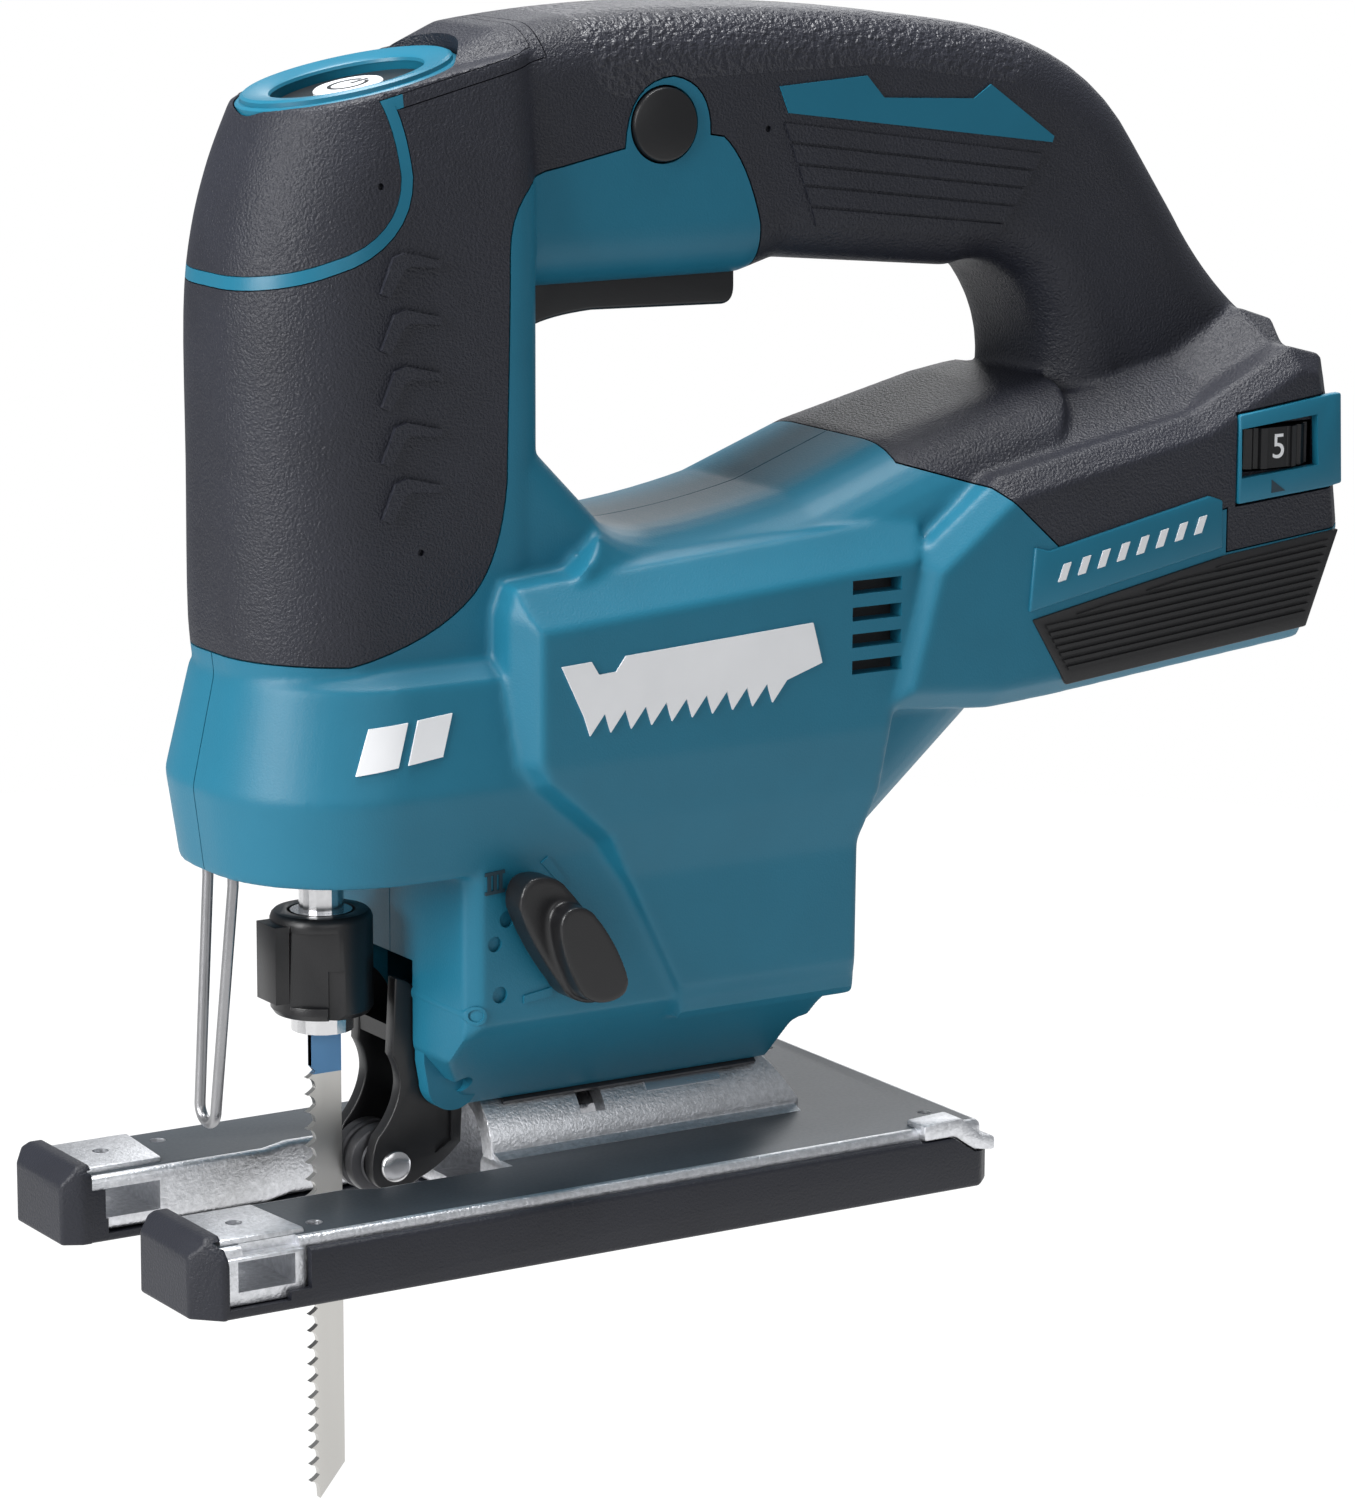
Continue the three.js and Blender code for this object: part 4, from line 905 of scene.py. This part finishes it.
def build_crown_button():
    """The ring on the tilted top, the dark disc in it, and the round button with its power sign."""
    ring_shape = turned("z", [
        (0.715, -2.6), (1.005, -2.6), (1.005, -0.2), (0.985, 0.1), (0.955, 0.15), (0.95, 0.9),
        (0.92, 1.25), (0.73, 0.7), (0.7, 0.35), (0.69, -0.2), (0.7, -0.5),
    ], 0, 0, 96)
    tilt_to_panel(ring_shape, 20.2, 17.8)
    finish_piece(ring_shape, "button_ring", "housing", TEAL_SMOOTH, ["button_bezel"])
    disc = cut(
        lathe("z", [(0.98, -3.4), (0.985, -1.8), (0.965, -1.6)], 0, 0, 96),
        rod("z", 0.47, -9, 3, 0, 0),
    )
    tilt_to_panel(disc, 14, 11.8)
    finish_piece(disc, "button_panel_disc", "housing", BLACK, ["button_panel"])
    button = lathe("z", [(6.15, -4.6), (6.2, -1.0), (5.95, -0.78)], 0, 0, 64)
    finish_piece(tilt_to_panel(button), "power_pad", "power", WHITE_INK, ["power_button"])
    arc = cut(
        turned("z", [(3.0, -0.8), (3.7, -0.8), (3.7, -0.7), (3.0, -0.7)], 0, 0, 64),
        prism("z", [(0, 0), (8, -2.6), (8, 2.6)], -3, 3),
    )
    symbol = join(arc, box(0.6, 4.2, -0.35, 0.35, -0.8, -0.7))
    finish_piece(tilt_to_panel(symbol), "power_symbol", "power", BLACK)


def build_speed_wheel():
    """The ribbed thumb wheel, with a flat for its number."""
    ribs = []
    crest, root = DIAL_R - 0.05, DIAL_R - 0.7
    for i in range(24):
        for share, r in ((-0.36, root), (-0.24, crest), (0.24, crest), (0.36, root)):
            a = 2 * math.pi * (i + share) / 24
            ribs.append((DIAL_X + r * math.cos(a), DIAL_Y + r * math.sin(a)))
    wheel = prism("z", ribs, DIAL_Z - 3.8, DIAL_Z + 3.8)
    rim = DIAL_Y - DIAL_R
    cut(wheel, box(DIAL_X - 2.9, DIAL_X + 2.9, rim - 1, rim + 0.75, 120, 145))
    finish_piece(wheel, "speed_wheel", "dial", BLACK, ["speed_dial"])

    text = bpy.data.curves.new("digit", "FONT")
    text.body = "5"
    text.size = 6.6
    text.extrude = 0.05
    text.align_x = "CENTER"
    text.align_y = "CENTER"
    source = bpy.data.objects.new("digit", text)
    scene.collection.objects.link(source)
    depsgraph = bpy.context.evaluated_depsgraph_get()
    mesh = bpy.data.meshes.new_from_object(source.evaluated_get(depsgraph))
    bpy.data.objects.remove(source)
    digit = bpy.data.objects.new("speed_digit", mesh)
    scene.collection.objects.link(digit)
    digit.data.transform(
        Matrix.Translation((DIAL_X, rim + 0.72, DIAL_Z)) @ Matrix.Rotation(math.pi / 2, 4, "X")
    )
    finish_piece(digit, "speed_digit", "dial", WHITE_INK)


def build_controls():
    """The lock pin, the trigger, the speed wheel in its frame, and the plates on the shoe."""
    lock = lathe("y", [
        (5.9, -18.3), (6.35, -18.15), (6.55, -17.8), (LOCK_R, -17.2),
        (LOCK_R, 17.2), (6.55, 17.8), (6.35, 18.15), (5.9, 18.3),
    ], LOCK_X, LOCK_Z)
    finish_piece(lock, "lock_pin", "lock", BLACK, ["lock_button"])
    lever = soften(prism("y", [
        (0, 161.6), (13, 163.9, 4, 163.4), (40.3, 163.2), (42.8, 166.4, 42.8, 163.4), (42.8, 170),
        (36, 173.5), (6, 173.5), (0, 171),
    ], -9, 9), 1.8, 4, 40)
    finish_piece(lever, "trigger_lever", "trigger", BLACK, ["trigger"])
    bezel = prism("y", SPEED_FRAME, -SHOE_HALF - 0.5, -SHOE_HALF + 1.3)
    cut(soften(bezel, 0.45, 2), prism("y", SPEED_WINDOW, -WIDE, 0))
    finish_piece(bezel, "speed_frame", "housing", TEAL_SMOOTH, ["speed_bezel"])
    build_speed_wheel()
    pointer = prism("y", [
        (143.2, 124.4), (146.4, 124.6), (143.2, 126.9),
    ], -SHOE_HALF - 0.6, -SHOE_HALF - 0.3)
    finish_piece(pointer, "speed_pointer", "housing", DARK_INK)
    for side, label in ((-1, "left"), (1, "right")):
        plate = soften(side_prism(side, NAMEPLATE, SHOE_HALF - 0.6, SHOE_HALF + 0.55), 0.4, 3)
        finish_piece(plate, f"nameplate_{label}", "housing", TEAL_SMOOTH, [f"badge_{label}"])
        marks = slanted_marks(94.5, 112, 8, side)
        finish_piece(marks, f"nameplate_marks_{label}", "housing", WHITE_INK)
        panel = ribbed_side(side)
        finish_piece(panel, f"ribbed_side_{label}", "housing", BLACK_MATT, [f"ribbed_panel_{label}"])


def build_clamp():
    """The twist sleeve of the blade clamp, with a flat, a notch and a tab."""
    sleeve = cut(
        lathe("z", [(8.5, 41), (9.2, 42), (9.2, 58.2), (8.9, 59), (8.4, 59.5)], ROD_X, 0, 96),
        rod("z", 6.1, 40, 60, ROD_X, 0),
    )
    facet = box(-12, 12, -30, -8.05, 43.4, 57)
    notch = box(2.6, 12, -30, -7.4, 40, 50)
    to_sleeve = Matrix.Translation((ROD_X, 0, 0)) @ Matrix.Rotation(math.radians(-38), 4, "Z")
    for tool in (facet, notch):
        tool.data.transform(to_sleeve)
    cut(sleeve, facet, notch)
    join(sleeve, box(-49, -44.6, -3.6, 3.6, 44, 58))
    soften(sleeve, 0.35, 2, 40)
    finish_piece(sleeve, "clamp_collar_sleeve", "sleeve", BLACK, ["clamp_sleeve"])


def build_blade():
    """The blade, teeth to the front, with its painted band."""
    front, back = -41.4, -34.5
    gullet, pitch = front + 1.7, 3.15
    outline = [(back, 45), (back, -44), (front + 1.8, -50.1)]
    z = -48.6
    while z < 27:
        outline += [
            (gullet, z), (front, z + 1.9, front + 1.6, z + 1.7),
            (gullet, z + 3, front + 0.9, z + 2.2),
        ]
        z += pitch
    outline += [(front + 0.9, 31), (front + 0.9, 45)]
    blade = prism("y", outline, -0.65, 0.65, 5)
    band = meet(copy_of(blade), box(-50, -30, -3, 3, 29.5, 37.4))
    band.data.transform(Matrix.Diagonal((1, 1.06, 1, 1)))
    finish_piece(blade, "saw_blade", "plunger", BLADE_STEEL, ["blade"])
    finish_piece(band, "blade_band", "plunger", BLUE_INK)


def build_guard():
    """The wire loop in front of the blade: two leaning legs and a round bottom."""
    path = [(GUARD_TOP_X, -GUARD_HALF, 75), (GUARD_TOP_X, -GUARD_HALF, 67)]
    for i in range(17):
        a = math.pi * i / 16
        path.append((GUARD_X, -3.1 * math.cos(a), 26.4 - 2.9 * math.sin(a)))
    path += [(GUARD_TOP_X, GUARD_HALF, 67), (GUARD_TOP_X, GUARD_HALF, 75)]
    finish_piece(tube(path, 1.0, 16), "guard_wire", "housing", GREY_STEEL, ["wire_guard"])


def fork_cheek(low, high):
    """The side view of one arm of the guide fork."""
    return prism("y", [
        (-27.2, 47), (-23.2, 44.6, -24.6, 46.6), (-20.6, 38, -21, 42), (-22, 32.5, -20.4, 34),
        (-18, 31.6, -20.6, 31.8), (-13.4, 27.6, -13.4, 31.6), (-14, 15),
        (-22.5, 9.4, -18, 11), (-27.7, 8, -24.6, 8),
        (-32.2, 12.5, -32.2, 8), (-31, 18, -32.2, 15.6), (-26.4, 27, -27, 22), (-28, 33, -26.2, 30),
    ], low, high)


def build_fork():
    """The guide fork behind the blade, its grooved roller and the roller's axle."""
    fork = join(
        soften(fork_cheek(-7.8, -4.9), 0.6, 3, 40), soften(fork_cheek(4.9, 7.8), 0.6, 3, 40),
        box(-20.6, -15.4, -6, 6, 14.6, 21), box(-27.6, -24, -6, 6, 35, 38),
    )
    cut(
        fork, rod("y", 1.9, -20, 20, FORK_X, FORK_Z), rod("y", 2.1, -20, 20, ROLLER_X, ROLLER_Z),
        prism("y", [(-18.6, 24), (-16, 24), (-16, 15.6), (-19.4, 13.6)], -9, -7.1),
    )
    finish_piece(fork, "fork_casting", "fork", BLACK, ["roller_fork"])
    roller = turned("y", [
        (2.05, -4.2), (4.4, -4.2), (4.7, -3.9), (5.9, -3.7), (6.35, -3.45), (6.5, -3),
        (6.5, -1.2), (6.3, -0.95), (5.75, -0.75), (5.75, 0.75), (6.3, 0.95), (6.5, 1.2),
        (6.5, 3), (6.35, 3.45), (5.9, 3.7), (4.7, 3.9), (4.4, 4.2), (2.05, 4.2),
    ], ROLLER_X, ROLLER_Z, 96)
    finish_piece(roller, "blade_roller", "roller", DARK_STEEL, ["guide_roller"])
    pin = lathe("y", [
        (1.2, -9.05), (2.2, -8.98), (2.75, -8.75), (2.95, -8.4),
        (2.95, -8.02), (1.9, -8), (1.9, 8.4), (1.7, 8.6),
    ], ROLLER_X, ROLLER_Z, 48)
    finish_piece(pin, "roller_axle", "fork", STEEL, ["roller_pin"])


def build_lever():
    """The orbit selector: a hub with a raised finger grip."""
    hub = prism("y", [
        (-18.2, 64.5), (-15, 69.6, -18, 69.2), (-9.5, 68, -11.6, 69.8), (1.6, 51.4, -2, 60),
        (-3.4, 45.6, 2.6, 46), (-9.8, 49.5, -8, 46), (-18.2, 64.5, -15.6, 57),
    ], -36.6, -30.5)
    grip = prism("y", [
        (-12.6, 61.4), (-9.6, 64.6, -12.4, 64.4), (-5.2, 62.2, -7, 64.6), (1, 51, -1, 57),
        (-3.6, 46.6, 2, 46.8), (-9, 50, -7.6, 47), (-12.6, 61.4, -12.4, 56),
    ], -41, -35)
    knob = merged("knob", [hub, grip], 0.35, 10)
    finish_piece(knob, "orbit_knob", "lever", BLACK, ["orbital_lever"])


HORN = 14.2                # half width of the gap between the base's two horns
PLATE_TOP, HORN_TOP = 12.2, 13.2
TIP_REAR = -76.8
FENCE = (-74.5, -63.5, -WIDE, WIDE, 4.4, 9.8)    # slot across the base for a guide fence
KEYWAY = (6, 44, -8, 8, -1, 6)                   # opening below the tilt barrel


def build_plate():
    """The cast base: plate, horns with their pads, tilt barrel and all its openings."""
    plate = prism("z", [
        (-80, -34), (-77.6, -36.4), (80.6, -36.4), (80.6, 36.4), (-77.6, 36.4), (-80, 34),
        (-80, HORN + 1.7), (-76.8, HORN), (-42, HORN), (-36, 16.8), (-10.5, 16.8),
        (-10.5, -16.8), (-36, -16.8), (-42, -HORN), (-76.8, -HORN), (-80, -HORN - 1.7),
    ], 1.9, PLATE_TOP)
    soften(plate, 1.3, 3)
    for side in (-1, 1):
        inner, outer = side * (HORN + 3), side * 34.4
        horn = prism("z", [
            (-76.6, inner), (-61.5, inner), (-60, outer), (-76.6, outer),
        ], 8, HORN_TOP)
        join(plate, soften(horn, 0.7, 2))
        cut(
            plate,
            rod("z", 1.5, 5, 20, -69.5, side * 26, 24),
            rod("z", 1.5, 5, 20, -56, side * 30, 24),
            rod("z", 1.3, 5, 20, 74, side * 27, 24),
            mirrored_box(side, -73.2, -62.2, 34.6, 40, 10.6, 20),
        )
        join(plate, soften(mirrored_box(side, -76.4, -61.4, 33.4, 37.2, 1.9, 10.4), 0.5, 2))
    barrel = meet(rod("x", BARREL_R, -10, 56, 0, BARREL_Z, 128), prism("y", [
        (-10, 8), (56, 8), (56, 14), (49, 25), (-10, 25),
    ], -20, 20))
    join(plate, soften(barrel, 0.6, 2, 40))
    for side in (-1, 1):
        join(plate, prism("x", [
            (side * 11.2, 11), (side * 14.2, 12), (side * 14.2, 12.25),
            (side * 12, 13.1), (side * 11.6, 15.2), (side * 11, 15.2),
        ], -9.6, 55))
    bore = join(rod("x", 8.5, -11, 44, 0, BARREL_Z, 64), box(-11, 44, -8.7, 8.7, 5, BARREL_Z))
    cut(
        plate,
        bore,
        box(*KEYWAY),
        prism("x", [(0, BARREL_Z), (22, 22.6), (0, 60), (-22, 22.6)], BOLT_X - 2.6, BOLT_X + 2.6),
        box(BOLT_X - BOLT_SLIDE - 2.9, BOLT_X + 2.9, -3.4, 3.4, BARREL_Z, 40),
        box(*FENCE),
    )
    finish_piece(plate, "base_casting", "base", CAST, ["base_plate"])
    # The flat upward faces at the plate's top take the second material, a painted dark reflection.
    plate.data.materials.append(PLATE_PAINTED_REFLECTION)
    for polygon in plate.data.polygons:
        z = polygon.center.z * 1000
        if polygon.normal.z > 0.98 and abs(z - PLATE_TOP) < 0.05:
            polygon.material_index = 1

    scale = meet(ring("x", 12.2, 11.6, 24, 40, 0, BARREL_Z, 128), prism("x", [
        (0, BARREL_Z), (-20, BARREL_Z + 14), (-20, BARREL_Z + 26),
    ], 20, 44))
    finish_piece(scale, "bevel_scale", "base", MILLED)


def cover_tip(side):
    """The raised nose of the soft cover on one horn."""
    inner, outer = side * (HORN - 0.4), side * 38.5
    footprint = prism("z", [
        (-82.5, side * 34), (-78, outer), (TIP_REAR, outer), (TIP_REAR, inner),
        (-79, inner), (-82.5, side * (HORN + 1.5)),
    ], 0, 14.4)
    profile = prism("y", [
        (-84, 0), (-68, 0), (-68, 14.4), (-79.6, 14.4), (-84, 9.4),
    ], -WIDE, WIDE)
    section = prism("x", [
        (-38.6, -1), (-13, -1), (-13, 12), (-15.6, 14.5), (-34.6, 14.5), (-38.6, 10.8),
    ] if side < 0 else [
        (38.6, -1), (38.6, 10.8), (34.6, 14.5), (15.6, 14.5), (13, 12), (13, -1),
    ], -90, -60)
    return soften(meet(footprint, profile, section), 0.6, 3)


def build_cover():
    """The dark cover under the base and the two clips that hold it at the rear."""
    cover = soften(prism("z", [
        (-82.5, -34), (-78, -38.5), (79, -38.5), (82.5, -35), (82.5, 35), (79, 38.5),
        (-78, 38.5), (-82.5, 34), (-82.5, HORN + 1.5), (-79, HORN - 0.4), (-42, HORN - 0.4),
        (-36, 16.4), (-10.5, 16.4), (-10.5, -16.4), (-36, -16.4), (-42, -HORN + 0.4),
        (-79, -HORN + 0.4), (-82.5, -HORN - 1.5),
    ], 0, 10.4), 0.9, 3)
    for side in (-1, 1):
        join(cover, cover_tip(side))
    room_for_plate = prism("z", [
        (-80.3, -34.1), (-77.7, -36.7), (80.9, -36.7), (80.9, 36.7), (-77.7, 36.7), (-80.3, 34.1),
        (-80.3, HORN + 1.4), (-77, HORN - 0.3), (-42, HORN - 0.3), (-36, 16.5), (-10.8, 16.5),
        (-10.8, -16.5), (-36, -16.5), (-42, -HORN + 0.3), (-77, -HORN + 0.3), (-80.3, -HORN - 1.4),
    ], 1.6, HORN_TOP + 0.3)
    cut(cover, room_for_plate, box(-74, -10, -16.6, 16.6, 1.6, 30), box(*FENCE), box(*KEYWAY))
    for side in (-1, 1):
        cut(
            cover,
            side_prism(side, [
                (TIP_REAR, 1.8), (-65, 1.8), (-65, 3.4), (-61, 3.4), (-61, 30), (TIP_REAR, 30),
            ], 36.5, WIDE),
            side_prism(side, [
                (66, 10), (73, 10), (77.6, 6.9), (84, 6.2), (84, 12), (66, 12),
            ], 31.5, 40),
        )
    finish_piece(cover, "base_shoe", "base", COVER, ["base_cover"])
    for side, label, nodes in ((-1, "left", ["base_clip_left"]), (1, "right", [])):
        clip = soften(side_prism(side, [
            (66.5, 10.2), (73.2, 10.2), (77.8, 7.1), (82.4, 6.5),
            (82.4, 9.1), (79.2, 9.8), (74.8, 13.6), (66.5, 13.2),
        ], 32, 38.2), 0.6, 2)
        finish_piece(clip, f"rear_clip_{label}", "base", CAST, nodes)


INSIDE = {
    "battery_rail": BLACK, "terminal_block": BLACK, "contact_left": COPPER, "contact_right": COPPER,
    "stator": DARK_STEEL, "rotor_shaft": STEEL, "rotor_core": DARK_STEEL, "motor_pinion": STEEL,
    "cooling_fan": BLACK, "front_bearing": STEEL, "rear_bearing": STEEL, "rear_bearing_bracket": BLACK,
    "gear_case": CAST, "crank_bearing": STEEL, "crank_gear": STEEL, "crank_roller": STEEL,
    "plunger_guide": CAST, "dust_seal": BLACK, "plunger_rod": STEEL, "yoke": STEEL, "clamp_core": STEEL,
    "fork_pin": STEEL, "lever_spindle": STEEL, "switch_body": BLACK, "switch_stem": BLACK,
    "control_board": BOARD, "bevel_saddle": DARK_STEEL, "base_retainer": STEEL, "base_bolt": STEEL,
    "bolt_plate": STEEL, "housing_screw_1": DARK_STEEL, "housing_screw_2": DARK_STEEL,
    "housing_screw_3": DARK_STEEL, "housing_screw_4": DARK_STEEL,
}


def dress_inside():
    """Gives the CAD's own inner parts, which are kept, their materials."""
    for name, material in INSIDE.items():
        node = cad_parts[name]
        node.data.materials.clear()
        node.data.materials.append(material)


make_camera()
make_studio()
build_housing()
build_crown_button()
build_controls()
build_clamp()
build_blade()
build_guard()
build_fork()
build_lever()
build_plate()
build_cover()
dress_inside()

floor = prism("z", circle(0, 0, FLOOR_R, 96), FLOOR_TOP - 1.5, FLOOR_TOP, name="floor")
floor.data.transform(Matrix.Scale(0.001, 4))
floor.data.materials.append(FLOOR)
